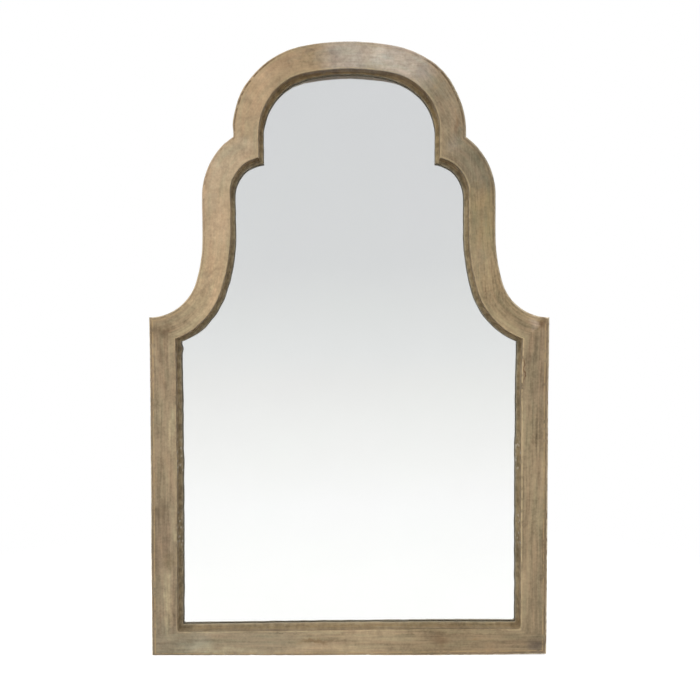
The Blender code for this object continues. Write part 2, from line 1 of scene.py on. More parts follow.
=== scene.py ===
# %% [markdown]
# A wall mirror in a carved wooden frame with a stepped, cusped cathedral arch.
# The real frame is glued up from eight boards, carved to one moulding, and finished by hand with a
# thin grey-brown wash that was rubbed back on the edges and waxed. The glass is sunk behind a step.
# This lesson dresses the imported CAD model: the boards, glass and fittings are made again with the
# small unevenness of handwork, and every piece gets the surface that the real one has.

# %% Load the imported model
import functools
import math
import random

import bpy
import numpy as np
from mathutils import Matrix, Vector, noise


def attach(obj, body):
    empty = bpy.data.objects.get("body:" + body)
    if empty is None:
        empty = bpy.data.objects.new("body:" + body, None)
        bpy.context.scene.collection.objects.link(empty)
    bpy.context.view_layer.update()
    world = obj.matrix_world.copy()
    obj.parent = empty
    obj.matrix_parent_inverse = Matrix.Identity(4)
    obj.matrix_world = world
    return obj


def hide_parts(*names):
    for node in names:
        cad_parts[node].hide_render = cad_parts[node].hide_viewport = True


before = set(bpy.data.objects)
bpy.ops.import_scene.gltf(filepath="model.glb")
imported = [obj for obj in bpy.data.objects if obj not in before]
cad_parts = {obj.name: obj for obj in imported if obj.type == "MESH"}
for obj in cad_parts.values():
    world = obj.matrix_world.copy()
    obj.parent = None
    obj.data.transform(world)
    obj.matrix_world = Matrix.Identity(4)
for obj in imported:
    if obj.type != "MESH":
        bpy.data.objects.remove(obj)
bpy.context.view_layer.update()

# %% [markdown]
# The sizes of the real mirror, in metres. They are the CAD model's own: the outline is a set of arcs
# and straight runs, and the moulding is a section that follows it, at a distance in from the edge.

# %% The sizes of the outline and the moulding
MM = 0.001
ARCH_WIDTH = 384 * MM
LOBE_STEP = 49 * MM
SHOULDER_LEDGE = 90 * MM
SHOULDER_HEIGHT = 566 * MM
COVE_RISE = 140 * MM
WAIST_RISE = 61 * MM
LOBE_RADIUS = 116 * MM
CUSP_RISE = 7.5 * MM
CROWN_RISE = 147 * MM
LOBE_TUCK = 12 * MM
COVE_RADIUS_SHARE = 0.905
HAUNCH_RADIUS_SHARE = 0.965
CROWN_JOINT_SHARE = 0.7

FRAME_DEPTH = 35 * MM
FACE_WIDTH = 43.5 * MM
LIP_WIDTH = 5.5 * MM
STEP_DEPTH = 19 * MM
LIP_THICKNESS = 4.5 * MM
EDGE_ROUND = 4 * MM
ARRIS_ROUND = 1.5 * MM
LIP_ROUND = 1.5 * MM
GLASS_REBATE = 8 * MM
PANEL_REBATE = 17 * MM
FIT_GAP = 0.3 * MM
WALL_PAD_THICKNESS = 7 * MM
PANEL_THICKNESS = 4 * MM
GLASS_THICKNESS = 4 * MM
GLASS_EDGE_GAP = 2 * MM

ARCH_HALF = ARCH_WIDTH / 2
WAIST_HALF = ARCH_HALF + LOBE_STEP
HALF_WIDTH = WAIST_HALF + SHOULDER_LEDGE
COVE_TOP = SHOULDER_HEIGHT + COVE_RISE
WAIST_TOP = COVE_TOP + WAIST_RISE
CUSP_HEIGHT = WAIST_TOP + math.sqrt(LOBE_RADIUS**2 - (LOBE_RADIUS - LOBE_STEP) ** 2)
HAUNCH_HEIGHT = CUSP_HEIGHT + CUSP_RISE
FRAME_HEIGHT = HAUNCH_HEIGHT + CROWN_RISE
MEMBER_WIDTH = FACE_WIDTH + LIP_WIDTH
GLASS_POCKET = MEMBER_WIDTH - GLASS_REBATE
PANEL_POCKET = GLASS_POCKET - PANEL_REBATE
FRONT_Y = -(FRAME_DEPTH + FIT_GAP + WALL_PAD_THICKNESS) / 2
BACK_Y = FRONT_Y + FRAME_DEPTH
LIP_BACK = STEP_DEPTH + LIP_THICKNESS
BACK_OF_GLAZING = FRAME_DEPTH - PANEL_THICKNESS - FIT_GAP
print("frame", round(2 * HALF_WIDTH, 4), "by", round(FRAME_HEIGHT, 4), "front at", round(FRONT_Y, 5))

# %% [markdown]
# An outline this far inside the outer edge is nine runs on the right half. Each run is an arc or a
# straight line. A share below 0 or above 1 runs on past the end, which leaves wood to saw off later.

# %% Arcs and straight lines
def arc_run(centre_x, centre_z, radius, start, end):
    """A run along a circle, as a function of the share of the way."""
    return lambda share: (
        centre_x + radius * math.cos(start + (end - start) * share),
        centre_z + radius * math.sin(start + (end - start) * share),
    )


def line_run(start, end):
    """A straight run, as a function of the share of the way."""
    return lambda share: (
        start[0] + (end[0] - start[0]) * share,
        start[1] + (end[1] - start[1]) * share,
    )


def places_on(run, steps):
    """The places along a run, both its ends among them."""
    return [run(step / steps) for step in range(steps + 1)]


QUARTER = math.pi / 2
print("a quarter circle in three places", places_on(arc_run(0, 0, 1, 0, QUARTER), 2))

# %% The runs of the outline
def outline_runs(offset):
    """The runs of the right half, this far inside the outer edge."""
    side = HALF_WIDTH - offset
    cove_radius = COVE_RADIUS_SHARE * SHOULDER_LEDGE
    cove_z = SHOULDER_HEIGHT + cove_radius
    rise = COVE_TOP - cove_z
    sweep_radius = (SHOULDER_LEDGE**2 + rise**2 - cove_radius**2) / (
        2 * (SHOULDER_LEDGE - cove_radius)
    )
    sweep_x = WAIST_HALF + sweep_radius
    meeting = math.pi + math.atan2(rise, sweep_x - HALF_WIDTH)
    corner = -QUARTER - math.asin(offset / (cove_radius + offset))
    lobe_radius = LOBE_RADIUS - offset - LOBE_TUCK * offset / MEMBER_WIDTH
    lobe_x = WAIST_HALF - offset - lobe_radius
    cusp = math.acos((ARCH_HALF - offset - lobe_x) / lobe_radius)
    haunch_radius = HAUNCH_RADIUS_SHARE * CROWN_RISE
    haunch_x = ARCH_HALF - haunch_radius
    crown_radius = (haunch_x**2 + CROWN_RISE**2 - haunch_radius**2) / (
        2 * (CROWN_RISE - haunch_radius)
    )
    crown_z = FRAME_HEIGHT - crown_radius
    spring = math.atan2(HAUNCH_HEIGHT - crown_z, haunch_x)
    runs = {
        "base": line_run((0, offset), (side, offset)),
        "cove": arc_run(HALF_WIDTH, cove_z, cove_radius + offset, corner, meeting - 2 * math.pi),
        "sweep": arc_run(sweep_x, COVE_TOP, sweep_radius + offset, meeting, math.pi),
        "lobe": arc_run(lobe_x, WAIST_TOP, lobe_radius, 0, cusp),
        "haunch": arc_run(haunch_x, HAUNCH_HEIGHT, haunch_radius - offset, 0, spring),
        "crown": arc_run(0, crown_z, crown_radius - offset, spring, QUARTER),
    }
    runs["side"] = line_run((side, offset), runs["cove"](0))
    runs["waist"] = line_run(runs["sweep"](1), runs["lobe"](0))
    runs["drop"] = line_run(runs["lobe"](1), runs["haunch"](0))
    return runs


print("runs", list(outline_runs(0)))

# %% How long the runs are
def run_length(name, offset=MEMBER_WIDTH / 2, steps=24):
    """The length of a run along the middle of the member."""
    run = outline_runs(offset)[name]
    places = [Vector(place) for place in places_on(run, steps)]
    return sum((b - a).length for a, b in zip(places, places[1:]))


RUN_ORDER = ("base", "side", "cove", "sweep", "waist", "lobe", "drop", "haunch", "crown")
RUN_LENGTHS = {name: run_length(name) for name in RUN_ORDER}
RUN_STARTS = {}
HALF_ROUND = 0
for run_name in RUN_ORDER:
    RUN_STARTS[run_name] = HALF_ROUND
    HALF_ROUND += RUN_LENGTHS[run_name]
print("runs in mm", {name: round(length / MM) for name, length in RUN_LENGTHS.items()})

# %% [markdown]
# The moulding's section runs from the back of the outer side, over the rounded outer edge and the
# flat face, down the step, over the thin lip that hides the glass edge, and back through the two
# rebates. Each point also gets the distance walked so far, which the finish uses to find the edges.

# %% The section of the moulding
def section_points():
    """The section as (distance in from the edge, depth behind the face, distance walked)."""
    arris, lip = FACE_WIDTH - ARRIS_ROUND, MEMBER_WIDTH - LIP_ROUND
    lip_middle = STEP_DEPTH + LIP_ROUND
    runs = (
        (line_run((0, FRAME_DEPTH), (0, EDGE_ROUND)), 9),
        (arc_run(EDGE_ROUND, EDGE_ROUND, EDGE_ROUND, math.pi, 3 * QUARTER), 7),
        (line_run((EDGE_ROUND, 0), (arris, 0)), 13),
        (arc_run(arris, ARRIS_ROUND, ARRIS_ROUND, -QUARTER, 0), 5),
        (line_run((FACE_WIDTH, ARRIS_ROUND), (FACE_WIDTH, STEP_DEPTH)), 8),
        (line_run((FACE_WIDTH, STEP_DEPTH), (lip, STEP_DEPTH)), 3),
        (arc_run(lip, lip_middle, LIP_ROUND, -QUARTER, 0), 4),
        (line_run((MEMBER_WIDTH, lip_middle), (MEMBER_WIDTH, LIP_BACK)), 2),
        (line_run((MEMBER_WIDTH, LIP_BACK), (GLASS_POCKET, LIP_BACK)), 2),
        (line_run((GLASS_POCKET, LIP_BACK), (GLASS_POCKET, BACK_OF_GLAZING)), 2),
        (line_run((GLASS_POCKET, BACK_OF_GLAZING), (PANEL_POCKET, BACK_OF_GLAZING)), 3),
        (line_run((PANEL_POCKET, BACK_OF_GLAZING), (PANEL_POCKET, FRAME_DEPTH)), 2),
        (line_run((PANEL_POCKET, FRAME_DEPTH), (0, FRAME_DEPTH)), 6),
    )
    places = [place for run, steps in runs for place in places_on(run, steps)[:-1]]
    places.append(places[0])
    walked = [0.0]
    for before, after in zip(places, places[1:]):
        walked.append(walked[-1] + math.dist(before, after))
    return [(*place, distance) for place, distance in zip(places, walked)]


SECTION = section_points()
AT_EDGE = FRAME_DEPTH - EDGE_ROUND
AT_FACE = AT_EDGE + QUARTER * EDGE_ROUND
AT_ARRIS = AT_FACE + FACE_WIDTH - EDGE_ROUND - ARRIS_ROUND
AT_WALL = AT_ARRIS + QUARTER * ARRIS_ROUND
AT_LIP = AT_WALL + STEP_DEPTH - ARRIS_ROUND
AT_LIP_EDGE = AT_LIP + LIP_WIDTH - LIP_ROUND
AT_SIGHT = AT_LIP_EDGE + QUARTER * LIP_ROUND
AT_HIDDEN = AT_SIGHT + LIP_THICKNESS - LIP_ROUND
print("section", len(SECTION), "points, round it", round(SECTION[-1][2] / MM, 1), "mm")

# %% [markdown]
# No line on a hand-cut frame is quite straight. The cuts stray by a fraction of a millimetre, the
# sides are worn a little hollow, the bottom rail runs a few millimetres out of level, and the edges
# have small knocks. All of it is worked out from the place alone, so that it runs on across a joint.

# %% How far handwork strays
BROAD_STRAY = 0.4 * MM
BROAD_SPACING = 110 * MM
FINE_STRAY = 0.22 * MM
FINE_SPACING = 16 * MM
LIP_STRAY = 0.6 * MM
FACE_HOLLOW = 0.35 * MM
LEFT_SIDE_HOLLOW = 0.8 * MM
RIGHT_SIDE_HOLLOW = 0.4 * MM
HOLLOW_FROM = 150 * MM
RAIL_DROP_LEFT = 5.0 * MM
RAIL_RISE_RIGHT = 2.0 * MM
RAIL_FADE_HEIGHT = 160 * MM
RAIL_HELD = 12 * MM
CORNER_RADIUS = 5 * MM
STEP_FADE = 22 * MM
# Where the carver's lines run off: which edge, place (x, z), reach, and shift (x, z) in mm
SLIPS = (
    ("inner", -0.186, 0.700, 0.090, 1.7, 0.0),
    ("inner", 0.186, 0.735, 0.060, -1.0, 0.0),
    ("inner", -0.275, 0.466, 0.010, -0.5, 0.0),
    ("inner", -0.277, 0.322, 0.016, 0.7, 0.0),
    ("inner", 0.276, 0.350, 0.020, -0.6, 0.0),
    ("inner", -0.130, 0.905, 0.030, 0.5, -0.5),
    ("sight", -0.281, 0.514, 0.005, 1.7, 0.5),
    ("sight", -0.281, 0.526, 0.009, -0.5, 0.0),
    ("sight", 0.040, 0.049, 0.250, 0.0, 2.1),
    ("sight", 0.282, 0.300, 0.220, -1.5, 0.0),
    ("sight", -0.282, 0.280, 0.200, 1.2, 0.0),
    ("sight", 0.000, 0.967, 0.080, 0.0, 2.0),
    ("sight", 0.095, 0.945, 0.030, 0.0, -2.0),
    ("sight", -0.167, 0.805, 0.012, -1.4, 0.0),
    ("sight", 0.183, 0.783, 0.014, 0.0, -1.5),
    ("sight", -0.247, 0.545, 0.020, 0.8, -0.9),
    ("step", 0.287, 0.290, 0.240, -1.7, 0.0),
    ("step", 0.287, 0.460, 0.050, -1.5, 0.0),
    ("step", -0.198, 0.735, 0.050, 1.1, 0.0),
    ("step", -0.287, 0.350, 0.160, 0.6, 0.0),
    ("step", 0.140, 0.044, 0.150, 0.0, 1.3),
    ("step", 0.000, 0.970, 0.075, 0.0, -1.9),
    ("outer", -0.242, 0.735, 0.060, -1.3, 0.0),
    ("outer", -0.197, 0.866, 0.012, 1.8, 0.0),
    ("outer", 0.150, 0.968, 0.030, 1.2, 1.0),
    ("outer", -0.181, 0.937, 0.022, -0.7, 0.7),
)
print(len(SLIPS), "slips, the largest", max(abs(slip[-2]) for slip in SLIPS), "mm sideways")

# %% [markdown]
# A frame that has hung and been moved has small dents, most of them on its two proud edges. Their
# places are drawn at random along those edges, longer runs getting more, from a seed that never
# changes. Blender starts its vector noise from the clock, so it is given a seed too.

# %% Small knocks
KNOCKS = 90
HAND_SEED = 11
rng = random.Random(HAND_SEED)
noise.seed_set(HAND_SEED)


def knocks():
    """Places, radii and depths of the small dents along the outer edge and the inner arris."""
    made = []
    for _ in range(KNOCKS):
        name = rng.choices(RUN_ORDER, RUN_LENGTHS.values())[0]
        inset = rng.choice((0.6 * MM, FACE_WIDTH - 0.4 * MM))
        x, z = outline_runs(inset)[name](rng.random())
        x *= rng.choice((-1, 1))
        place = (x, FRONT_Y + 0.8 * MM, z)
        made.append((np.array(place), rng.uniform(2.5, 6.0) * MM, rng.uniform(0.25, 0.8) * MM))
    return made


KNOCKED = knocks()
print(len(KNOCKED), "knocks")

# %% [markdown]
# The lower corners of the opening can't be cut quite sharp, so their arris is rounded off, less and
# less towards the lip. Then every other stray is added to the drawn place of a point, and what
# would leave the CAD box is held at it.

# %% Rounded lower corners of the opening
def rounded_corner(points, depths):
    """How far the lower corners of the opening move when their arris is rounded off."""
    shift = np.zeros_like(points)
    side = np.where(points[:, 0] < 0, -1.0, 1.0)
    centre = HALF_WIDTH - FACE_WIDTH - CORNER_RADIUS
    dx = np.abs(points[:, 0]) - centre
    dz = (FACE_WIDTH + CORNER_RADIUS) - points[:, 2]
    far = np.maximum(dx, dz)
    near = (dx > 0) & (dz > 0) & (far < 3 * CORNER_RADIUS)
    length = np.sqrt(dx**2 + dz**2) + 1e-9
    fade = np.clip((3 * CORNER_RADIUS - far) / (2 * CORNER_RADIUS), 0, 1)
    fade *= np.clip(1 - depths / (1.3 * STEP_DEPTH), 0, 1) * near
    pull = (far / length - 1) * fade
    shift[:, 0] = side * dx * pull
    shift[:, 2] = -dz * pull
    return shift


corner = np.array([[HALF_WIDTH - FACE_WIDTH, FRONT_Y, FACE_WIDTH]])
corner_move = rounded_corner(corner, np.zeros(1))[0]
print("the sharp corner moves", round(float(np.linalg.norm(corner_move)) / MM, 2), "mm")

# %% Rail, stiles and slips
def rail_and_stiles(points, insets, moved):
    """Rolls the bottom rail out of level, and hollows both stiles."""
    x, z = points[:, 0], points[:, 2]
    low = np.clip(1 - z / RAIL_FADE_HEIGHT, 0, 1) ** 1.5
    across = (x + HALF_WIDTH) / (2 * HALF_WIDTH)
    roll = low * (across * (RAIL_RISE_RIGHT + RAIL_DROP_LEFT) - RAIL_DROP_LEFT)
    moved[:, 2] += np.where(roll < 0, roll * np.clip(z / RAIL_HELD, 0, 1), roll)
    up = np.clip((z - HOLLOW_FROM) / (SHOULDER_HEIGHT - HOLLOW_FROM), 0, 1)
    stile = np.sin(np.pi * up) * (1 - 0.7 * insets / MEMBER_WIDTH)
    hollow = np.where(x < 0, LEFT_SIDE_HOLLOW, -RIGHT_SIDE_HOLLOW) * (np.abs(x) > WAIST_HALF)
    moved[:, 0] += hollow * stile


def slips(points, insets, depths, moved):
    """Moves the points where a line of the carver runs off."""
    inner = insets / MEMBER_WIDTH
    on_step = np.where(
        insets < FACE_WIDTH,
        np.clip(1 - (FACE_WIDTH - insets) / STEP_FADE, 0, 1),
        np.clip(1 - (insets - FACE_WIDTH) / LIP_WIDTH, 0, 1),
    )
    on_step *= np.clip(1 - (depths - STEP_DEPTH) / (0.5 * LIP_THICKNESS), 0, 1)
    shares = {"outer": (1 - inner) ** 2, "inner": inner**2, "step": on_step, "sight": inner**12}
    for part, slip_x, slip_z, reach, shift_x, shift_z in SLIPS:
        away = np.hypot(points[:, 0] - slip_x, points[:, 2] - slip_z) / reach
        pull = np.exp(-(away**3)) * shares[part]
        moved[:, 0] += pull * shift_x * MM
        moved[:, 2] += pull * shift_z * MM


print("the rail drops", round(RAIL_DROP_LEFT / MM, 1), "mm at the left corner")

# %% Fine stray and knocks
def stray(points, insets, depths, moved):
    """Moves every point a little, as the hand that held the tool did."""
    front = np.clip(1 - depths / LIP_BACK, 0, 1)
    inner = insets / MEMBER_WIDTH
    for index, place in enumerate(points):
        spot = Vector(place)
        broad = noise.noise_vector(spot / BROAD_SPACING)
        fine = noise.noise_vector(spot / FINE_SPACING)
        reach = FINE_STRAY * front[index] + LIP_STRAY * inner[index] ** 8
        move = broad * BROAD_STRAY + fine * reach
        dip = abs(noise.noise(spot / (FINE_SPACING * 2.2))) * FACE_HOLLOW
        moved[index] += (move.x, dip * front[index], move.z)


def dents(points, insets, moved):
    """Presses the knocks in, towards the middle of the member."""
    middle = np.array((0.0, 0.0, SHOULDER_HEIGHT * 0.6))
    for place, radius, depth in KNOCKED:
        distance = np.linalg.norm(points - place, axis=1)
        near = distance < radius
        bite = depth * (1 - (distance[near] / radius) ** 2) ** 2
        inwards = np.where(insets[near] < FACE_WIDTH / 2, 1.0, -1.0)
        to_middle = middle - points[near]
        to_middle[:, 1] = 0
        to_middle /= np.linalg.norm(to_middle, axis=1)[:, None]
        moved[near] += to_middle * (bite * inwards * 0.7)[:, None]
        moved[near, 1] += bite * 0.7


def worked_by_hand(points, insets, depths):
    """The drawn places of a board, as (n, 3), moved as far as the real handwork strays."""
    moved = points + rounded_corner(points, depths)
    rail_and_stiles(points, insets, moved)
    slips(points, insets, depths, moved)
    stray(points, insets, depths, moved)
    dents(points, insets, moved)
    low = (-HALF_WIDTH, FRONT_Y, 0)
    return np.clip(moved, low, (HALF_WIDTH, BACK_Y, FRAME_HEIGHT))


print("boards stay between", round(FRONT_Y, 5), "and", round(BACK_Y, 5), "m in depth")

# %% [markdown]
# A board starts as a grid. One way of the grid runs along the member and the other goes round the
# section, and each vertex is put where the two say, so that carving follows the outline. The grid is
# closed along its seam, sawn off at the two joint planes, and only then given its unevenness.
# The grain of the real boards is straight, whatever the outline does, so each board also carries the
# place of every point in its own plank, as an attribute that the wood reads.

# %% Small helpers for modelling
def only(*objects):
    """Selects these objects and nothing else, the first one active."""
    if bpy.context.object is not None and bpy.context.object.mode != "OBJECT":
        bpy.ops.object.mode_set(mode="OBJECT")
    bpy.ops.object.select_all(action="DESELECT")
    for obj in objects:
        obj.select_set(True)
    bpy.context.view_layer.objects.active = objects[0]


def edit(obj):
    """Opens one piece for modelling, with all of it selected."""
    only(obj)
    bpy.ops.object.mode_set(mode="EDIT")
    bpy.ops.mesh.select_all(action="SELECT")


def new_piece(name):
    """Names the primitive that was just added."""
    obj = bpy.context.object
    obj.name = name
    obj.data.name = name
    return obj


def finish_mesh(obj, angle=30):
    """Puts a piece's place into its mesh, turns its faces outwards and smooths its soft edges."""
    only(obj)
    bpy.ops.object.transform_apply(location=True, rotation=True, scale=True)
    edit(obj)
    bpy.ops.mesh.normals_make_consistent(inside=False)
    bpy.ops.object.mode_set(mode="OBJECT")
    bpy.ops.object.shade_smooth_by_angle(angle=math.radians(angle))
    return obj


# %% A grid in the shape of a piece
MERGE_GAP = 0.005 * MM


def shaped_grid(name, table, along=None, round_it=None):
    """A piece whose grid of vertices lies on this table of places, (columns, rows, 3)."""
    columns, rows = table.shape[0] - 1, table.shape[1] - 1
    bpy.ops.object.select_all(action="DESELECT")
    bpy.ops.mesh.primitive_grid_add(x_subdivisions=columns, y_subdivisions=rows, size=1)
    obj = new_piece(name)
    mesh = obj.data
    places = np.array([v.co for v in mesh.vertices])
    column_of = np.rint((places[:, 0] + 0.5) * columns).astype(int)
    row_of = np.rint((places[:, 1] + 0.5) * rows).astype(int)
    mesh.vertices.foreach_set("co", table[column_of, row_of].ravel())
    if along is not None:
        corners = np.zeros(len(mesh.loops), dtype=np.int32)
        mesh.loops.foreach_get("vertex_index", corners)
        u = np.array(along)[column_of[corners]]
        v = np.array(round_it)[row_of[corners]]
        layer = mesh.uv_layers.active
        layer.name = "moulding"
        layer.data.foreach_set("uv", np.stack((u, v), axis=1).ravel().astype(np.float32))
    edit(obj)
    bpy.ops.mesh.remove_doubles(threshold=MERGE_GAP)
    bpy.ops.object.mode_set(mode="OBJECT")
    return obj


print("points closer than", MERGE_GAP / MM, "mm are merged")

# %% [markdown]
# The eight boards meet at glued joints: a mitre at each lower corner, a butt joint at each neck and
# cusp, and one on each side of the crown. A joint is a plane through an outer and an inner place. A
# board's grid runs a little past both of its joints, so that the saw always has wood to cut.

# %% The joints between the boards
STATION_STEP = 3 * MM
SAW_OFF = 8 * MM


def joint_plane(run_name, share):
    """A glued joint of the right half, as its outer and its inner place."""
    outer = Vector(outline_runs(0)[run_name](share))
    inner = Vector(outline_runs(MEMBER_WIDTH)[run_name](share))
    return outer, inner


JOINTS = {
    "mitre": joint_plane("side", 0),
    "neck": joint_plane("cove", 0),
    "cusp": joint_plane("lobe", 1),
    "arch": joint_plane("haunch", CROWN_JOINT_SHARE),
}
BOARD_RUNS = {
    "stile": (("side", 0, 1),),
    "shoulder": (("cove", 0, 1), ("sweep", 0, 1), ("waist", 0, 1), ("lobe", 0, 1)),
    "haunch": (("drop", 0, 1), ("haunch", 0, CROWN_JOINT_SHARE)),
    "crown": (("haunch", CROWN_JOINT_SHARE, 1), ("crown", 0, 1)),
    "rail": (("base", 1, 0),),
}


def stations(board):
    """The places along a board of the right half, as (run, share, distance walked)."""
    made = []
    runs = BOARD_RUNS[board]
    walked = RUN_STARTS[runs[0][0]] + runs[0][1] * RUN_LENGTHS[runs[0][0]]
    walked -= 0 if board in ("crown", "rail") else SAW_OFF
    for index, (name, start, end) in enumerate(runs):
        length = RUN_LENGTHS[name]
        spare = SAW_OFF / length * (1 if end > start else -1)
        first = start - spare if index == 0 else start
        closed = index == len(runs) - 1 and board in ("stile", "shoulder", "haunch")
        last = end + spare if closed else end
        steps = max(2, round(abs(last - first) * length / STATION_STEP))
        for step in range(steps):
            share = first + (last - first) * step / steps
            made.append((name, share, walked))
            walked += (last - first) * length / steps
    name, _, end = runs[-1]
    made.append((name, end + spare if closed else end, walked))
    return made


print({board: len(stations(board)) for board in BOARD_RUNS})

# %% [markdown]
# A board is sawn off square to its member, a glue line short of the joint, and the saw cut is closed
# with a flat face, as bisect does. The rest of the grid falls away.

# %% Saw the ends
GLUE_LINE = 0.04 * MM


def saw_ends(obj, cuts):
    """Saws a board off at its joints."""
    edit(obj)
    for joint, sign, keeps in cuts:
        outer, inner = JOINTS[joint]
        along = (outer - inner).normalized()
        away = Vector((-along.y, along.x)) * (-1 if keeps == "above" else 1)
        foot = outer - away * GLUE_LINE / 2
        bpy.ops.mesh.select_all(action="SELECT")
        bpy.ops.mesh.bisect(
            plane_co=(sign * foot.x, 0, foot.y),
            plane_no=(sign * away.x, 0, away.y),
            use_fill=True,
            clear_outer=True,
        )
    bpy.ops.object.mode_set(mode="OBJECT")


print("glue line", GLUE_LINE / MM, "mm")

# %% [markdown]
# Each board was sawn from a plank of its own, so its grain has its own direction and its own place in
# the pattern. Both are written down before the points stray, so that the grain stays straight.

# %% Plank, and handwork
PLANK_STEP = (0.61, 0.37, 0.23)
OUTLINE_PARTS = 60
BLOCK = 4000
outer_runs = outline_runs(0)
FINE_OUTLINE = np.array(
    [outer_runs[run](step / OUTLINE_PARTS) for run in RUN_ORDER for step in range(OUTLINE_PARTS)]
)


def section_place(places):
    """How far in from the outer edge, roughly, and how deep each point of a board lies."""
    depths = places[:, 1] - FRONT_Y
    insets = np.full(len(places), MEMBER_WIDTH)
    flat = np.stack((np.abs(places[:, 0]), places[:, 2]), axis=1)
    for start in range(0, len(flat), BLOCK):
        block = flat[start : start + BLOCK]
        gaps = np.linalg.norm(block[:, None, :] - FINE_OUTLINE[None, :, :], axis=2)
        insets[start : start + BLOCK] = np.minimum(gaps.min(axis=1), MEMBER_WIDTH)
    return insets, depths


def rest_and_stray(obj, grain_turn, plank_number):
    """Writes each point's place in its plank, then moves the points as the handwork strays."""
    mesh = obj.data
    places = np.array([v.co for v in mesh.vertices], dtype=float)
    turn = np.array(Matrix.Rotation(math.radians(grain_turn), 3, "Y"))
    along_x = places @ turn.T
    plank = np.stack((along_x[:, 2], along_x[:, 0], along_x[:, 1]), axis=1)
    plank += np.array(PLANK_STEP) * plank_number
    attribute = mesh.attributes.new("plank", "FLOAT_VECTOR", "POINT")
    attribute.data.foreach_set("vector", plank.ravel().astype(np.float32))
    insets, depths = section_place(places)
    mesh.vertices.foreach_set("co", worked_by_hand(places, insets, depths).ravel())
    mesh.update()
    finish_mesh(obj, 40)


print("outline in", len(FINE_OUTLINE), "places")

# %% [markdown]
# Carving puts one column of the grid at each station along the board and one row at each point of
# the section. The left boards are the right ones mirrored, and the crown and the rail run on over
# the middle to the other side.

# %% Carve one board
def carve_board(node, board, sign, cuts, grain_turn, plank_number):
    """One board of the frame: cuts are (joint, side, keeps), and the turn is of its grain."""
    right = stations(board)
    if sign < 0:
        line = [(-1, run, share, 2 * HALF_ROUND - walked) for run, share, walked in right]
    else:
        line = [(1, run, share, walked) for run, share, walked in right]
    if board in ("crown", "rail"):
        end = right[-1][2]
        line += [(-1, run, share, 2 * end - walked) for run, share, walked in right[-2::-1]]
    runs_by_row = [outline_runs(inset) for inset, _, _ in SECTION]
    table = np.zeros((len(line), len(SECTION), 3))
    for column, (side, run, share, _) in enumerate(line):
        for row, (_, depth, _) in enumerate(SECTION):
            x, z = runs_by_row[row][run](share)
            table[column, row] = (side * x, FRONT_Y + depth, z)
    obj = shaped_grid(
        f"{node}_board", table, [entry[3] for entry in line], [entry[2] for entry in SECTION]
    )
    saw_ends(obj, cuts)
    rest_and_stray(obj, grain_turn, plank_number)
    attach(obj, "mirror")
    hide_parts(node)
    return obj


print("a section has", len(SECTION), "rows")

# %% [markdown]
# Each board's grain lies along its own length, as a maker saws it from the plank, so it turns with
# the arch from board to board.

# %% The eight boards
GRAIN_TURNS = {"stile": 0, "shoulder": 4, "haunch": 35, "crown": 90, "rail": 90}
boards = {}
for board_side, board_sign in (("left", -1), ("right", 1)):
    for number, (board, low_joint, high_joint) in enumerate(
        (("stile", "mitre", "neck"), ("shoulder", "neck", "cusp"), ("haunch", "cusp", "arch"))
    ):
        cuts = ((low_joint, board_sign, "above"), (high_joint, board_sign, "below"))
        boards[f"{board_side}_{board}"] = carve_board(
            f"{board_side}_{board}",
            board,
            board_sign,
            cuts,
            board_sign * GRAIN_TURNS[board],
            1 + number + (3 if board_sign > 0 else 0),
        )
boards["crown"] = carve_board(
    "crown", "crown", 1, (("arch", 1, "above"), ("arch", -1, "above")), GRAIN_TURNS["crown"], 7
)
boards["bottom_rail"] = carve_board(
    "bottom_rail", "rail", 1, (("mitre", 1, "below"), ("mitre", -1, "below")), GRAIN_TURNS["rail"], 8
)
for made_board in boards.values():
    print(made_board.name, len(made_board.data.polygons), "faces")

# %% [markdown]
# The glass is 4 mm float glass with the silver behind it, so the silver is a sheet of its own. That
# gives the real thing's faint double line along the lip. A sheet of foam presses both forward.

# %% Glass, silvering and foam
GLASS_FRONT = LIP_BACK + FIT_GAP
SILVER_GAP = 0.04 * MM
SILVER_THICKNESS = 0.1 * MM
FOAM_FRONT = GLASS_FRONT + GLASS_THICKNESS + FIT_GAP
FOAM_THICKNESS = BACK_OF_GLAZING - FOAM_FRONT
OUTLINE_STEP = 4 * MM


def closed_outline(offset):
    """The whole outline this far inside the outer edge, as places (x, z) from the foot upwards."""
    runs = outline_runs(offset)
    right = []
    for name in RUN_ORDER:
        steps = max(2, round(RUN_LENGTHS[name] / OUTLINE_STEP))
        right += places_on(runs[name], steps)[:-1]
    top = runs["crown"](1)
    left = [(-x, z) for x, z in right[:0:-1]]
    return [*right, top, *left]


def cut_sheet(name, offset, front, thickness):
    """A flat sheet cut to the outline, its front face this deep behind the frame's face."""
    outline = closed_outline(offset)
    bpy.ops.object.select_all(action="DESELECT")
    bpy.ops.mesh.primitive_circle_add(vertices=len(outline), radius=1, fill_type="NGON")
    obj = new_piece(name)
    places = [(x, FRONT_Y + front, z) for x, z in outline]
    obj.data.vertices.foreach_set("co", np.array(places).ravel())
    edit(obj)
    bpy.ops.mesh.extrude_region_move(TRANSFORM_OT_translate={"value": (0, thickness, 0)})
    finish_mesh(obj)
    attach(obj, "mirror")
    return obj


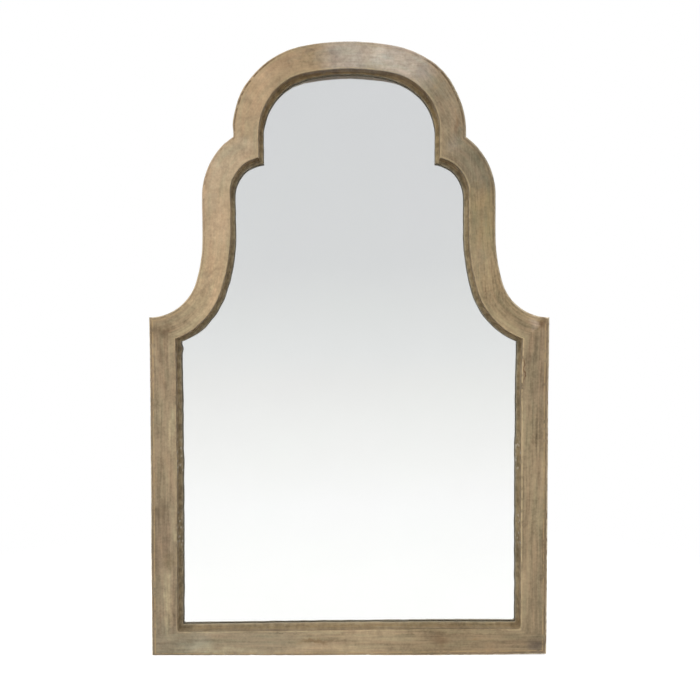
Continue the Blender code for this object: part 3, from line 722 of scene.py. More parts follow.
SHEET_INSET = GLASS_POCKET + GLASS_EDGE_GAP
CLEAR_THICKNESS = GLASS_THICKNESS - SILVER_THICKNESS - SILVER_GAP
glass = cut_sheet("mirror_glass_cut", SHEET_INSET, GLASS_FRONT, CLEAR_THICKNESS)
silvering = cut_sheet(
    "silvering", SHEET_INSET, GLASS_FRONT + GLASS_THICKNESS - SILVER_THICKNESS, SILVER_THICKNESS
)
foam = cut_sheet("foam_sheet_cut", SHEET_INSET, FOAM_FRONT, FOAM_THICKNESS)
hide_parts("mirror_glass")
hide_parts("foam_sheet")
print("glass", len(glass.data.vertices), "vertices, foam", round(FOAM_THICKNESS / MM, 2), "mm thick")

# %% [markdown]
# Fittings on the back. Turned and bent pieces are grids too: one way of the grid follows the bend or
# the turn, and the other the section. A screw's cross is cut into its head with two bars.

# %% Sizes of the fittings
KNUCKLE_PLAY = 0.25 * MM
STRAP_WIDTH = 14 * MM
STRAP_LENGTH = 48 * MM
STRAP_THICKNESS = 1.2 * MM
WIRE_RADIUS = 1.5 * MM
RING_WIDTH = 19 * MM
RING_LENGTH = 18 * MM
RING_CORNER = 2 * MM
KNUCKLE_RADIUS = WIRE_RADIUS + KNUCKLE_PLAY + STRAP_THICKNESS
STRAP_UNDERSIDE = BACK_Y + FIT_GAP
RING_X = WAIST_HALF - PANEL_POCKET / 2
RING_Y = STRAP_UNDERSIDE + KNUCKLE_RADIUS
RING_Z = COVE_TOP + 44 * MM
SCREW_RADIUS = 1.75 * MM
HEAD_RADIUS = 3.5 * MM
HEAD_RIM = 0.4 * MM
CROSS_LENGTH = 3.6 * MM
CROSS_WIDTH = 0.9 * MM
CROSS_DEPTH = 1.2 * MM
print("knuckle radius", round(KNUCKLE_RADIUS / MM, 2), "mm, ring bars at", round(RING_Z / MM), "mm")

# %% Turned pieces and bent wire
TURN_STEPS = 32


def turned(name, profile):
    """A piece turned about Y, its profile given as (radius, height towards the back)."""
    angles = np.linspace(0, 2 * math.pi, TURN_STEPS + 1)
    radii = np.array([radius for radius, _ in profile])
    heights = np.array([height for _, height in profile])
    table = np.stack(
        (
            np.outer(np.cos(angles), radii),
            np.tile(heights, (len(angles), 1)),
            np.outer(np.sin(angles), radii),
        ),
        axis=2,
    )
    return shaped_grid(name, table)


def tube(name, path, radius, steps=16):
    """A closed ring of wire along a flat path of (x, z) places."""
    places = np.array([(x, 0, z) for x, z in path])
    along = np.roll(places, -1, axis=0) - np.roll(places, 1, axis=0)
    along /= np.linalg.norm(along, axis=1)[:, None]
    aside = np.cross(along, (0, 1, 0))
    angles = np.linspace(0, 2 * math.pi, steps + 1)
    table = places[:, None, :] + radius * (
        np.cos(angles)[None, :, None] * aside[:, None, :]
        + np.sin(angles)[None, :, None] * np.array((0, 1, 0))
    )
    return shaped_grid(name, np.concatenate((table, table[:1])))


print("a turned piece has", TURN_STEPS, "sides")

# %% Cut a cross, and put a fitting in its place
def cut_cross(obj, top):
    """Cuts the cross for the driver into a screw's head."""
    for size in ((CROSS_LENGTH, CROSS_WIDTH), (CROSS_WIDTH, CROSS_LENGTH)):
        bpy.ops.object.select_all(action="DESELECT")
        bpy.ops.mesh.primitive_cube_add(size=1, location=(0, top, 0))
        bar = bpy.context.object
        bar.scale = (size[0], 2 * CROSS_DEPTH, size[1])
        only(obj)
        cut = obj.modifiers.new("cross", "BOOLEAN")
        cut.object = bar
        bpy.ops.object.modifier_apply(modifier=cut.name)
        only(bar)
        bpy.ops.object.delete()


def put(obj, place, turn, body, node):
    """Turns a fitting about its own axis, puts it in place, and says what it stands for."""
    obj.rotation_euler = (0, turn, 0)
    obj.location = place
    finish_mesh(obj)
    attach(obj, body)
    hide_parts(node)
    return obj


print("a cross is", round(CROSS_WIDTH / MM, 1), "mm wide")

# %% [markdown]
# A hanger strap is a strip of thin steel with a round foot, rolled at its other end into a knuckle
# that holds the ring. Its middle line is walked from the foot up and round, and its section, with
# softly rounded edges, is carried along it. The ring is round wire bent to a D.

# %% The strap
def strap_line(steps=40):
    """The middle of the strap's sheet from its foot up and round the knuckle: (y, z, out y, out z)."""
    line = []
    for share in (0, 0.02, 0.05, 0.09, 0.14, 0.2, 0.3, 0.4, 0.5, 0.6, 0.7, 0.8, 0.9):
        line.append((STRAP_THICKNESS / 2, -STRAP_LENGTH * (1 - share), 1.0, 0.0))
    middle = KNUCKLE_RADIUS - STRAP_THICKNESS / 2
    for angle in np.linspace(-QUARTER, math.pi + 0.6, steps):
        out_y, out_z = -math.sin(angle), -math.cos(angle)
        line.append((KNUCKLE_RADIUS - out_y * middle, -out_z * middle, out_y, out_z))
    return line


def hanger_strap(name):
    """A steel strap with a rounded foot, its end rolled round the ring's bar."""
    half = STRAP_WIDTH / 2
    thick = STRAP_THICKNESS / 2
    edge = 0.25 * MM
    section = []
    for corner_x, corner_y, start in ((1, 1, 0), (-1, 1, 90), (-1, -1, 180), (1, -1, 270)):
        for step in range(5):
            angle = math.radians(start + 90 * step / 4)
            section.append((corner_x, corner_y, edge * math.cos(angle), edge * math.sin(angle)))
    section.append(section[0])
    rows = []
    for y, z, out_y, out_z in strap_line():
        from_foot = z + STRAP_LENGTH
        width = half
        if out_z == 0 and from_foot < half:
            width = math.sqrt(max(half**2 - (half - from_foot) ** 2, 0))
        places = []
        for corner_x, corner_y, round_x, round_y in section:
            x = corner_x * max(width - edge, 0) + round_x * min(1, width / edge)
            lift = corner_y * (thick - edge) + round_y
            places.append((x, y + out_y * lift, z + out_z * lift))
        rows.append(places)
    ends = [[tuple(np.mean(row[:-1], axis=0))] * len(row) for row in (rows[0], rows[-1])]
    return shaped_grid(name, np.array([ends[0], *rows, ends[1]]))


print("a strap has", len(strap_line()), "sections")

# %% The line of the ring
def ring_path():
    """The middle line of the D ring: its bar lies on the axis it swings about."""
    half = RING_WIDTH / 2
    corner = RING_CORNER
    depth = RING_LENGTH - half
    path = [(share * (half - corner), 0) for share in (-0.6, -0.2, 0.2, 0.6)]
    path += places_on(arc_run(half - corner, -corner, corner, QUARTER, 0), 8)
    path += [(half, -corner - share * (depth - corner)) for share in (0.33, 0.67)]
    path += places_on(arc_run(0, -depth, half, 0, -math.pi), 36)
    path += [(-half, -corner - share * (depth - corner)) for share in (0.67, 0.33)]
    return path + places_on(arc_run(corner - half, -corner, corner, math.pi, QUARTER), 8)


print("a ring has", len(ring_path()), "sections")

# %% Put straps and rings in their places
steel = []
for fitting_side, fitting_sign in (("left", -1), ("right", 1)):
    ring = tube(f"{fitting_side}_ring_wire", ring_path(), WIRE_RADIUS)
    place = (fitting_sign * RING_X, RING_Y, RING_Z)
    steel.append(put(ring, place, 0, f"{fitting_side}_hanging_ring", f"{fitting_side}_ring"))
    strap = hanger_strap(f"{fitting_side}_strap_rolled")
    place = (fitting_sign * RING_X, STRAP_UNDERSIDE, RING_Z)
    steel.append(put(strap, place, 0, "mirror", f"{fitting_side}_hanger_strap"))
print("rings and straps", [len(obj.data.polygons) for obj in steel])

# %% [markdown]
# Screws and pads are turned from a profile. The flat-headed ones hold the back panel down, and the
# round-headed ones hold the straps. No two screws stop at the same turn, so each has its own.

# %% Sizes of screws and wall pads
SCREW_PLACES = {
    "base": ("base", 0.52),
    "stile_low": ("side", 0.28),
    "stile_high": ("side", 0.75),
    "cove": ("cove", 0.50),
    "waist": ("waist", 0.80),
    "haunch": ("haunch", 0.42),
}
PANEL_SCREW_LENGTH = 16 * MM
STRAP_SCREW_LENGTH = 18 * MM
SCREW_POINT = 3 * MM
DOME_HEIGHT = 1.8 * MM
SCREW_SINK = 0.3 * MM
STRAP_HOLE_DROPS = {"top": 25 * MM, "bottom": 40 * MM}
PAD_RADIUS = 9 * MM
PAD_ROUND = 1 * MM
PAD_DISH = 0.25 * MM
PAD_INSET = 12.5 * MM
print("panel screws a side", len(SCREW_PLACES))

# %% Two kinds of screw
def countersunk_screw(name):
    """A flat-headed screw, its head at 0 and its point at the front."""
    cone = HEAD_RADIUS - SCREW_RADIUS
    profile = [(0, 0), (CROSS_LENGTH / 2 + 0.6 * MM, 0), (HEAD_RADIUS - 0.15 * MM, 0)]
    profile += [(HEAD_RADIUS, -0.1 * MM), (HEAD_RADIUS, -HEAD_RIM), (SCREW_RADIUS, -HEAD_RIM - cone)]
    profile += [(SCREW_RADIUS, SCREW_POINT - PANEL_SCREW_LENGTH), (0, -PANEL_SCREW_LENGTH)]
    obj = turned(name, profile)
    cut_cross(obj, 0)
    return obj


def round_headed_screw(name):
    """A round-headed screw, its head's seat at 0."""
    profile = []
    for angle in np.linspace(0, QUARTER, 9):
        profile.append((HEAD_RADIUS * math.sin(angle), DOME_HEIGHT * math.cos(angle)))
    profile += [(SCREW_RADIUS, 0), (SCREW_RADIUS, SCREW_POINT - STRAP_SCREW_LENGTH)]
    profile.append((0, -STRAP_SCREW_LENGTH))
    obj = turned(name, profile)
    cut_cross(obj, DOME_HEIGHT)
    return obj


print("heads", round(2 * HEAD_RADIUS / MM, 1), "mm across")

# %% Wall pad
def wall_pad(name):
    """A rubber pad with a rounded rim and a slightly dished face."""
    top = WALL_PAD_THICKNESS
    inner = PAD_RADIUS - PAD_ROUND
    profile = [(0, 0), (PAD_RADIUS - 0.3 * MM, 0), (PAD_RADIUS, 0.3 * MM)]
    profile += places_on(arc_run(inner, top - PAD_ROUND, PAD_ROUND, 0, QUARTER), 5)
    profile += [(inner * 0.8, top - PAD_DISH), (0, top - PAD_DISH)]
    return turned(name, profile)


print("pads", round(2 * PAD_RADIUS / MM), "mm across")

# %% Put screws and pads in their places
TURN_SEED = 5
rng = random.Random(TURN_SEED)
pads = []
ledge = (GLASS_POCKET + PANEL_POCKET + 1 * MM) / 2
for fitting_side, fitting_sign in (("left", -1), ("right", 1)):
    for label, (run, share) in SCREW_PLACES.items():
        x, z = outline_runs(ledge)[run](share)
        node = f"{fitting_side}_panel_screw_{label}"
        screw = countersunk_screw(f"{node}_turned")
        place = (fitting_sign * x, BACK_Y - SCREW_SINK, z)
        steel.append(put(screw, place, rng.uniform(0, QUARTER), "mirror", node))
    for label, drop in STRAP_HOLE_DROPS.items():
        node = f"{fitting_side}_strap_screw_{label}"
        screw = round_headed_screw(f"{node}_turned")
        place = (fitting_sign * RING_X, STRAP_UNDERSIDE + STRAP_THICKNESS + FIT_GAP, RING_Z - drop)
        steel.append(put(screw, place, rng.uniform(0, QUARTER), "mirror", node))
    haunch = outline_runs(PAD_INSET)["haunch"](0.5)
    for label, (x, z) in (("foot", (HALF_WIDTH - PAD_INSET, PAD_INSET)), ("haunch", haunch)):
        node = f"{fitting_side}_wall_pad_{label}"
        place = (fitting_sign * x, BACK_Y + FIT_GAP, z)
        pads.append(put(wall_pad(f"{node}_moulded"), place, 0, "mirror", node))
print(len(steel), "steel fittings,", len(pads), "wall pads")

# %% [markdown]
# The camera stands 1.34 m in front of the frame, level with the middle of the mirror, and looks two
# degrees down. That is how the photograph was taken: its picture narrows a little towards the foot,
# and it shows the inner walls of the step on all sides.

# %% Camera
IMAGE_SIDE = 700
SENSOR_WIDTH = 36
FOCAL_PIXELS = 810.5
CAMERA_DISTANCE = 1340 * MM
CAMERA_HEIGHT = 512.7 * MM
CAMERA_PITCH = math.radians(2.04)
MIDDLE_PIXEL_X = 349.25
AXIS_PIXEL_Y = 378.5

bpy.ops.object.select_all(action="DESELECT")
bpy.ops.object.camera_add(
    location=(0, FRONT_Y - CAMERA_DISTANCE, CAMERA_HEIGHT),
    rotation=(QUARTER - CAMERA_PITCH, 0, 0),
)
camera = bpy.context.object
camera.data.sensor_width = SENSOR_WIDTH
camera.data.lens = FOCAL_PIXELS * SENSOR_WIDTH / IMAGE_SIDE
camera.data.shift_x = (IMAGE_SIDE / 2 - MIDDLE_PIXEL_X) / IMAGE_SIDE
camera.data.shift_y = (AXIS_PIXEL_Y - IMAGE_SIDE / 2) / IMAGE_SIDE
bpy.context.scene.camera = camera
bpy.context.scene.view_settings.view_transform = "Standard"
print("lens", round(camera.data.lens, 2), "mm, shift", round(camera.data.shift_y, 4))

# %% [markdown]
# A material is a small network of nodes. One function adds any node: first comes its kind, which is
# the node's name and its settings, and then what goes into its open sockets, in the order in which
# the node shows them. Kinds that come back often are written down once, under a plain word.
# Colours are written as they are seen, in sRGB, and one function turns them to linear.

# %% The kinds of node
COORDINATES = ("TexCoord", {})
PART_OF = ("SeparateXYZ", {})
NOISE = ("TexNoise", {})
SPREAD = ("MapRange", {})
SMOOTH = ("MapRange", {"interpolation_type": "SMOOTHSTEP"})
LAID_OVER = ("Mix", {"data_type": "RGBA", "blend_type": "MIX"})
TINTED = ("Mix", {"data_type": "RGBA", "blend_type": "MULTIPLY"})
EITHER = ("Mix", {"data_type": "FLOAT"})
ADD, LESS, TIMES, MOST, BELOW, SIZE_OF = (
    ("Math", {"operation": name})
    for name in ("ADD", "SUBTRACT", "MULTIPLY", "MAXIMUM", "LESS_THAN", "ABSOLUTE")
)
MOVED, MOVED_BACK, SCALED, DISTANCE, LENGTH = (
    ("VectorMath", {"operation": name})
    for name in ("ADD", "SUBTRACT", "MULTIPLY", "DISTANCE", "LENGTH")
)
BUMPS = ("Bump", {})
RAYS = ("LightPath", {})
print("a smooth step is", SMOOTH, "and a product is", TIMES)

# %% Colours and nodes
def linear(colour):
    """The linear RGBA of a colour written as rrggbb."""
    made = []
    for start in (0, 2, 4):
        value = int(colour[start : start + 2], 16) / 255
        made.append(value / 12.92 if value <= 0.04045 else ((value + 0.055) / 1.055) ** 2.4)
    return (*made, 1.0)


def fill(socket, value):
    """Links a socket to another node's output, or gives it a value or colour of its own."""
    if isinstance(value, bpy.types.NodeSocket):
        socket.id_data.links.new(value, socket)
    else:
        socket.default_value = linear(value) if isinstance(value, str) else value


def add_node(tree, kind, *values, output=None):
    """Adds a node of this kind, fills its open sockets in order, and gives an output."""
    made = tree.nodes.new(f"ShaderNode{kind[0]}")
    for key, setting in kind[1].items():
        setattr(made, key, setting)
    for socket, value in zip([socket for socket in made.inputs if socket.enabled], values):
        if value is not None:
            fill(socket, value)
    return made.outputs[output] if output else [s for s in made.outputs if s.enabled][0]


print("mid grey 808080 is", round(linear("808080")[0], 3), "in linear light")

# %% Materials
WHITE = (1, 1, 1, 1)


def feed(shader, **sockets):
    """Fills a shader's sockets, named in small letters with underscores."""
    for key, value in sockets.items():
        fill(shader.inputs[key.replace("_", " ").title().replace("Ior", "IOR")], value)


def new_material(name, **constants):
    """A Principled material with these values on its sockets: (material, its add_node, shader)."""
    made = bpy.data.materials.new(name)
    made.use_nodes = True
    shader = made.node_tree.nodes["Principled BSDF"]
    feed(shader, **constants)
    return made, functools.partial(add_node, made.node_tree), shader


def give(obj, *materials):
    """Puts these materials on a piece, instead of those it has."""
    obj.data.materials.clear()
    for material in materials:
        obj.data.materials.append(material)


print("materials of the CAD model", [material.name for material in bpy.data.materials])

# %% [markdown]
# The frame is a plain, fine-grained hardwood, brushed with a thin grey-brown wash, rubbed back by
# hand and waxed. The eye reads four things in it: broad soft stains that are warmer on one side and
# greyer on the crown, streaks along the grain a few millimetres wide, pale bare wood where hands and
# sandpaper took the wash off the edges, and a darker colour in the recess. Painted light lies in them
# too. The warmer, lighter side is partly painted light, and the pale grey at the crown is a painted
# sheen. The recess colour is partly painted shade, some lines in the step and on the edges are painted
# shade and painted highlights, and the back of the lip is painted pale as painted light.
# The stains and their painted light come from the place on the frame, the streaks from the place in
# the plank, and the worn edges, the recess colour and the painted lines from the distance round the
# section.

# %% Washed and waxed wood: what its patterns read
washed, wood, wood_shader = new_material(
    "brushed_and_waxed_washed_wood",
    coat_roughness=0.42,
    coat_weight=0.10,
    specular_ior_level=0.35,
)
place = wood(COORDINATES, output="Object")
plank = wood(("Attribute", {"attribute_name": "plank"}), output="Vector")
moulding = wood(("UVMap", {"uv_map": "moulding"}))
walked = wood(PART_OF, moulding, output="Y")
place_x = wood(PART_OF, place, output="X")
height = wood(PART_OF, place, output="Z")
print(washed.name, "reads the place, the plank and the way round the moulding")

# %% [markdown]
# Every pattern of the wash is soft noise. A cloud is as long as it is wide, and brush marks, streaks
# and fibres are drawn out along the member or along the plank. At the foot the last coat was brushed
# straight across, over both lower corners, so below a ragged line the marks run level.

# %% Clouds, brush marks and fibres
BLOTCH_SIZE = 36 * MM
CLOUD_SIZE = 12 * MM
MOTTLE_SIZE = 4 * MM
BRUSH_WIDTH, BRUSH_LENGTH = 4.5 * MM, 90 * MM
BAND_WIDTH, BAND_LENGTH = 16 * MM, 120 * MM
STREAK_WIDTH, STREAK_LENGTH = 1.6 * MM, 34 * MM
# The real fibres are half as wide, which a picture of this size can't show
FIBRE_WIDTH, FIBRE_LENGTH = 0.9 * MM, 26 * MM
STROKE_WIDTH, STROKE_LENGTH = 2.4 * MM, 24 * MM
RAIL_COAT = 37 * MM
COAT_STRAY = 12 * MM


def wash_pattern(source, width, length, detail=3.0, roughness=0.6):
    """Soft noise of this width, drawn out to this length along the first way of its source."""
    drawn_out = wood(SCALED, source, (width / length, 1, 1))
    return wood(NOISE, drawn_out, 1 / width, detail, roughness)


blotch = wash_pattern(place, BLOTCH_SIZE, BLOTCH_SIZE, 4.0)
small_cloud = wash_pattern(place, CLOUD_SIZE, CLOUD_SIZE, 5.0, 0.65)
mottle = wash_pattern(place, MOTTLE_SIZE, MOTTLE_SIZE)
cloud_round_zero = wood(LESS, small_cloud, 0.5)
coat_end = wood(ADD, height, wood(TIMES, cloud_round_zero, COAT_STRAY))
on_rail = wood(BELOW, coat_end, RAIL_COAT)
on_rail = wood(TIMES, on_rail, wood(BELOW, walked, AT_ARRIS))
across_foot = wood(("CombineXYZ", {}), place_x, height, 0.5)
brushed = wood(("Mix", {"data_type": "VECTOR"}), on_rail, moulding, across_foot)
brush = wash_pattern(brushed, BRUSH_WIDTH, BRUSH_LENGTH)
band = wash_pattern(brushed, BAND_WIDTH, BAND_LENGTH)
streak = wash_pattern(brushed, STREAK_WIDTH, STREAK_LENGTH)
fibre = wash_pattern(plank, FIBRE_WIDTH, FIBRE_LENGTH, 2.0)
stroke = wash_pattern(plank, STROKE_WIDTH, STROKE_LENGTH)
print("brush marks", round(BRUSH_WIDTH / MM, 1), "mm wide, fibres", round(FIBRE_WIDTH / MM, 1), "mm")

# %% [markdown]
# No two boards of the real frame took the wash alike. Soft areas give each its own tone, and single
# marks stand where a stain or a bare patch catches the eye. The areas are lighter and warmer on the
# left and darker on the right, partly as painted light, and the pale grey areas at the crown and the
# pale grey mark there are a painted sheen. Both lie on the plane of the frame, and their edges are
# ragged, because a cloud pushes the place that they are measured from.

# %% Stains and single marks
RAGGED_SIZE = 22 * MM
RAGGED_PUSH = 24 * MM
WASH_TONE = "95846a"
# How the wash differs from board to board, with painted light and sheen in it: place (x, z), radius, and
# tone
AREAS = (
    (-0.300, 0.160, 0.170, "8b7b65"),
    (-0.306, 0.420, 0.150, "95846c"),
    (0.306, 0.130, 0.130, "8a7a61"),
    (0.306, 0.480, 0.100, "8f7e66"),
    (-0.160, 0.020, 0.120, "94866f"),
    (-0.300, 0.012, 0.050, "877c68"),
    (0.030, 0.020, 0.120, "a08e73"),
    (0.180, 0.020, 0.110, "8c7b61"),
    (-0.275, 0.620, 0.085, "a08e73"),
    (-0.249, 0.640, 0.065, "b59f81"),
    (0.275, 0.620, 0.085, "948266"),
    (0.247, 0.625, 0.040, "9c896b"),
    (-0.243, 0.735, 0.070, "b09a7f"),
    (0.243, 0.735, 0.070, "8d7d5f"),
    (-0.205, 0.825, 0.060, "af9c83"),
    (0.210, 0.830, 0.060, "7e735f"),
    (-0.165, 0.930, 0.085, "aa9478"),
    (0.165, 0.925, 0.080, "8d7f69"),
    (-0.075, 0.985, 0.060, "9b876c"),
    # These two pale grey areas at the crown are a painted sheen
    (0.000, 0.995, 0.050, "aa9f92"),
    (0.085, 0.985, 0.060, "afa396"),
)
# Single marks in it: place (x, z), half width, half height, and tone
MARKS = (
    (-0.316, 0.545, 0.020, 0.020, "7b6a54"),
    (-0.303, 0.546, 0.012, 0.010, "72604a"),
    (0.321, 0.556, 0.009, 0.012, "614a34"),
    (0.306, 0.556, 0.009, 0.008, "ad9c8a"),
    (0.290, 0.478, 0.0016, 0.022, "60412a"),
    (-0.311, 0.503, 0.006, 0.014, "7c6b56"),
    (-0.311, 0.457, 0.011, 0.016, "806f5a"),
    (-0.319, 0.435, 0.007, 0.050, "a6957b"),
    (-0.315, 0.244, 0.011, 0.022, "6d5f4b"),
    (-0.299, 0.160, 0.012, 0.014, "6f6049"),
    (-0.291, 0.201, 0.005, 0.012, "a99a7e"),
    (-0.303, 0.090, 0.006, 0.052, "ad9d80"),
    (-0.296, 0.381, 0.006, 0.040, "a99a7e"),
    (0.308, 0.360, 0.009, 0.022, "a79679"),
    (0.311, 0.225, 0.010, 0.045, "9f8e72"),
    (-0.266, 0.034, 0.022, 0.008, "7a6d58"),
    (-0.220, 0.010, 0.070, 0.007, "a59a80"),
    (0.314, 0.017, 0.017, 0.014, "64584c"),
    (-0.255, 0.020, 0.030, 0.016, "9c9683"),
    (0.152, 0.028, 0.014, 0.013, "7b664d"),
    (-0.058, 0.027, 0.030, 0.005, "80694d"),
    (0.213, 0.828, 0.012, 0.014, "6a6350"),
    (0.177, 0.880, 0.005, 0.020, "75634f"),
    (-0.156, 0.938, 0.012, 0.012, "a08a6e"),
    (-0.171, 0.850, 0.014, 0.013, "bca78c"),
    (0.172, 0.850, 0.012, 0.016, "8a8070"),
    (-0.064, 1.002, 0.012, 0.006, "857660"),
    # This pale grey mark at the crown is a painted sheen
    (0.050, 0.988, 0.018, 0.014, "bfb7ac"),
    (0.121, 0.964, 0.014, 0.012, "93867a"),
    (-0.023, 0.991, 0.010, 0.012, "94867a"),
)
drift = wood(NOISE, place, 1 / RAGGED_SIZE, 4.0, output="Color")
pushed = wood(MOVED_BACK, drift, (0.5, 0.5, 0.5))
pushed = wood(SCALED, pushed, (RAGGED_PUSH, 0, 1.6 * RAGGED_PUSH))
flat = wood(SCALED, wood(MOVED, place, pushed), (1, 0, 1))
tone = WASH_TONE
for x, z, radius, colour in AREAS:
    away = wood(DISTANCE, flat, (x, 0, z))
    here = wood(SMOOTH, away, radius * 1.3, radius * 0.35)
    tone = wood(LAID_OVER, here, tone, colour)
for x, z, half_width, half_height, colour in MARKS:
    away = wood(MOVED_BACK, flat, (x, 0, z))
    away = wood(SCALED, away, (1 / half_width, 0, 1 / half_height))
    here = wood(SMOOTH, wood(LENGTH, away), 1.5, 0.1, 0, 0.85)
    tone = wood(LAID_OVER, here, tone, colour)
print(len(AREAS), "areas and", len(MARKS), "marks")

# %% [markdown]
# How light or dark the wash lies comes from brush marks along the member, clouds, and the grain under
# it. Up the arch the coat is dabbed, in short strokes along the straight grain of each board. Each
# pattern is taken round its middle, given its weight, and added.

# %% Light and dark in the wash
ARCH_FROM = (0.545, 0.62)
dabbed = wood(SMOOTH, height, *ARCH_FROM)
right_side = wood(SMOOTH, place_x, 0.0, 0.2)
drawn = wood(SMOOTH, right_side, 0, 1, 0.45, 0.55)
drawn = wood(SMOOTH, height, *ARCH_FROM, 1.0, drawn)
drawn = wood(TIMES, drawn, wood(SMOOTH, place_x, -0.2, 0.1, 0.8, 1.0))
spotty = wood(SMOOTH, height, *ARCH_FROM, 1.0, 1.2)
fine = wood(ADD, wood(TIMES, streak, 0.26), wood(TIMES, fibre, 0.12))
hidden = wood(TIMES, dabbed, wood(SMOOTH, right_side, 0, 1, 1.0, 0.2))
fine = wood(TIMES, wood(LESS, fine, 0.19), wood(LESS, 1.0, hidden))
shade = wood(ADD, fine, 0.5)
for pattern, weight, coat in (
    (brush, 0.88, drawn),
    (band, 1.00, drawn),
    (blotch, 0.55, 1.0),
    (small_cloud, 0.50, spotty),
    (mottle, 0.48, spotty),
    (stroke, wood(SMOOTH, right_side, 0, 1, 0.30, 0.75), dabbed),
):
    part = wood(TIMES, wood(LESS, pattern, 0.5), weight)
    shade = wood(ADD, shade, wood(TIMES, part, coat))
calm = wood(SMOOTH, height, 0.56, 0.72, 1.0, 0.75)
calm = wood(LESS, calm, wood(TIMES, on_rail, 0.2))
shade = wood(TIMES, wood(LESS, shade, 0.5), calm)
shade = wood(("Clamp", {}), wood(ADD, shade, 0.5))
light = wood(LAID_OVER, shade, (0.30, 0.268, 0.22, 1), (1.72, 1.70, 1.65, 1))
colour = wood(TINTED, 1.0, tone, light)
print("nodes so far", len(washed.node_tree.nodes))

# %% [markdown]
# The wash also changes in hue: it is a little darker towards the outer edge of the stiles, where they
# are handled, and goes from greenish grey to pinkish tan from one brush mark to the next. Up the arch
# it is greyer in patches as wide as a hand's stroke, and where the coat is thin it is warmer.

# %% Hue of the wash
HUE_WIDTH, HUE_LENGTH = 11 * MM, 70 * MM
GREY_SIZE = 32 * MM
inward = wood(LESS, wood(SMOOTH, walked, AT_FACE, AT_ARRIS), 0.55)
plain = wood(LESS, 1.0, wood(MOST, on_rail, dabbed))
inward = wood(ADD, wood(TIMES, inward, plain), 0.55)
handled = wood(LAID_OVER, inward, (0.93, 0.92, 0.91, 1), (1.07, 1.07, 1.06, 1))
colour = wood(TINTED, 1.0, colour, handled)
hue = wash_pattern(wood(MOVED, brushed, (0.7, 0.3, 0.2)), HUE_WIDTH, HUE_LENGTH)
for low, high, tint in ((0.50, 0.64, (0.94, 1.01, 1.0, 1)), (0.48, 0.34, (1.04, 0.98, 0.98, 1))):
    colour = wood(TINTED, wood(SMOOTH, hue, low, high, 0, 0.7), colour, tint)
greyed = wash_pattern(wood(MOVED, place, (0.3, 0.1, 0.4)), GREY_SIZE, GREY_SIZE, 4.0)
greyed = wood(TIMES, wood(SMOOTH, greyed, 0.48, 0.62, 0, 0.9), dabbed)
greyed = wood(TIMES, greyed, wood(SMOOTH, right_side, 0, 1, 0.7, 1.0))
colour = wood(TINTED, greyed, colour, (0.86, 0.90, 0.94, 1))
thin = wood(SMOOTH, brush, 0.60, 0.74)
thin = wood(TIMES, thin, wood(SMOOTH, small_cloud, 0.42, 0.62))
colour = wood(LAID_OVER, wood(TIMES, thin, 0.45), colour, "8a6a45")
print("patches", round(GREY_SIZE / MM), "mm wide, hues", round(HUE_WIDTH / MM), "mm")

# %% [markdown]
# The wall of the recess is a little darker and browner than the face, partly as painted shade, and
# it is darker still where it faces down, which is painted shade. Lines along it are those that the
# carving tool left, and on the bottom rail it is laid on more thinly. The lip is greyer and blotchy,
# and high up the arch it is darker and browner, a painted shadow of the crown's overhang. The lip's
# rounded edge is painted dark as painted shade, and lighter where it faces up and where it faces
# left, as painted light.

# %% Recess and lip
PATCH_SIZE = 9 * MM
LAYER_WIDTH, LAYER_LENGTH = 4.2 * MM, 240 * MM
about = wood(ADD, walked, wood(TIMES, cloud_round_zero, 3 * MM))
in_recess = wood(SMOOTH, about, AT_WALL - 0.5 * MM, AT_WALL + 1.0 * MM)
deep = wood(SCALED, place, (1, 0.3, 1))
patchy = wood(SMOOTH, wash_pattern(deep, PATCH_SIZE, PATCH_SIZE, 4.0, 0.55), 0.36, 0.64)
glaze_and_shade = wood(LAID_OVER, patchy, "7f6d52", "a69172")
layer = wood(SMOOTH, wash_pattern(moulding, LAYER_WIDTH, LAYER_LENGTH), 0.40, 0.60)
carved = wood(LAID_OVER, layer, (0.66, 0.63, 0.58, 1), (1.30, 1.28, 1.24, 1))
carved = wood(TINTED, 1.0, glaze_and_shade, carved)
upwards = wood(SMOOTH, height, 0.55, 0.75, 0.45, 0.9)
glaze_and_shade = wood(LAID_OVER, upwards, glaze_and_shade, carved)
normal = wood(("NewGeometry", {}), output="Normal")
facing_side = wood(PART_OF, normal, output="X")
facing = wood(PART_OF, normal, output="Z")
# Darker where the wall faces down: painted shade
downward_shade = wood(SMOOTH, facing, -0.3, -0.95)
glaze_and_shade = wood(TINTED, downward_shade, glaze_and_shade, (0.64, 0.54, 0.40, 1))
lip = wood(LAID_OVER, patchy, "72644b", "a09071")
for kind, source, limits, tint in (
    (LAID_OVER, streak, (0.62, 0.74, 0, 0.5), "c0b59e"),
    (LAID_OVER, brush, (0.56, 0.70, 0, 0.6), "65553c"),
    # Darker and browner high up the arch: painted shadow of the crown's overhang on the lip
    (TINTED, height, (0.80, 0.90), (0.98, 0.88, 0.72, 1)),
):
    lip = wood(kind, wood(SMOOTH, source, *limits), lip, tint)
on_lip = wood(SMOOTH, walked, AT_LIP - 0.4 * MM, AT_LIP + 0.4 * MM)
glaze_and_shade = wood(LAID_OVER, on_lip, glaze_and_shade, lip)
# The recess colour, painted shade with it, is laid on more thinly on the bottom rail
on_sides = wood(SMOOTH, height, 0.048, 0.060, 0.5, 0.85)
# From here on the colour holds painted shade and painted highlights as well as the stains
stain_and_painted_light = wood(LAID_OVER, wood(TIMES, in_recess, on_sides), colour, glaze_and_shade)
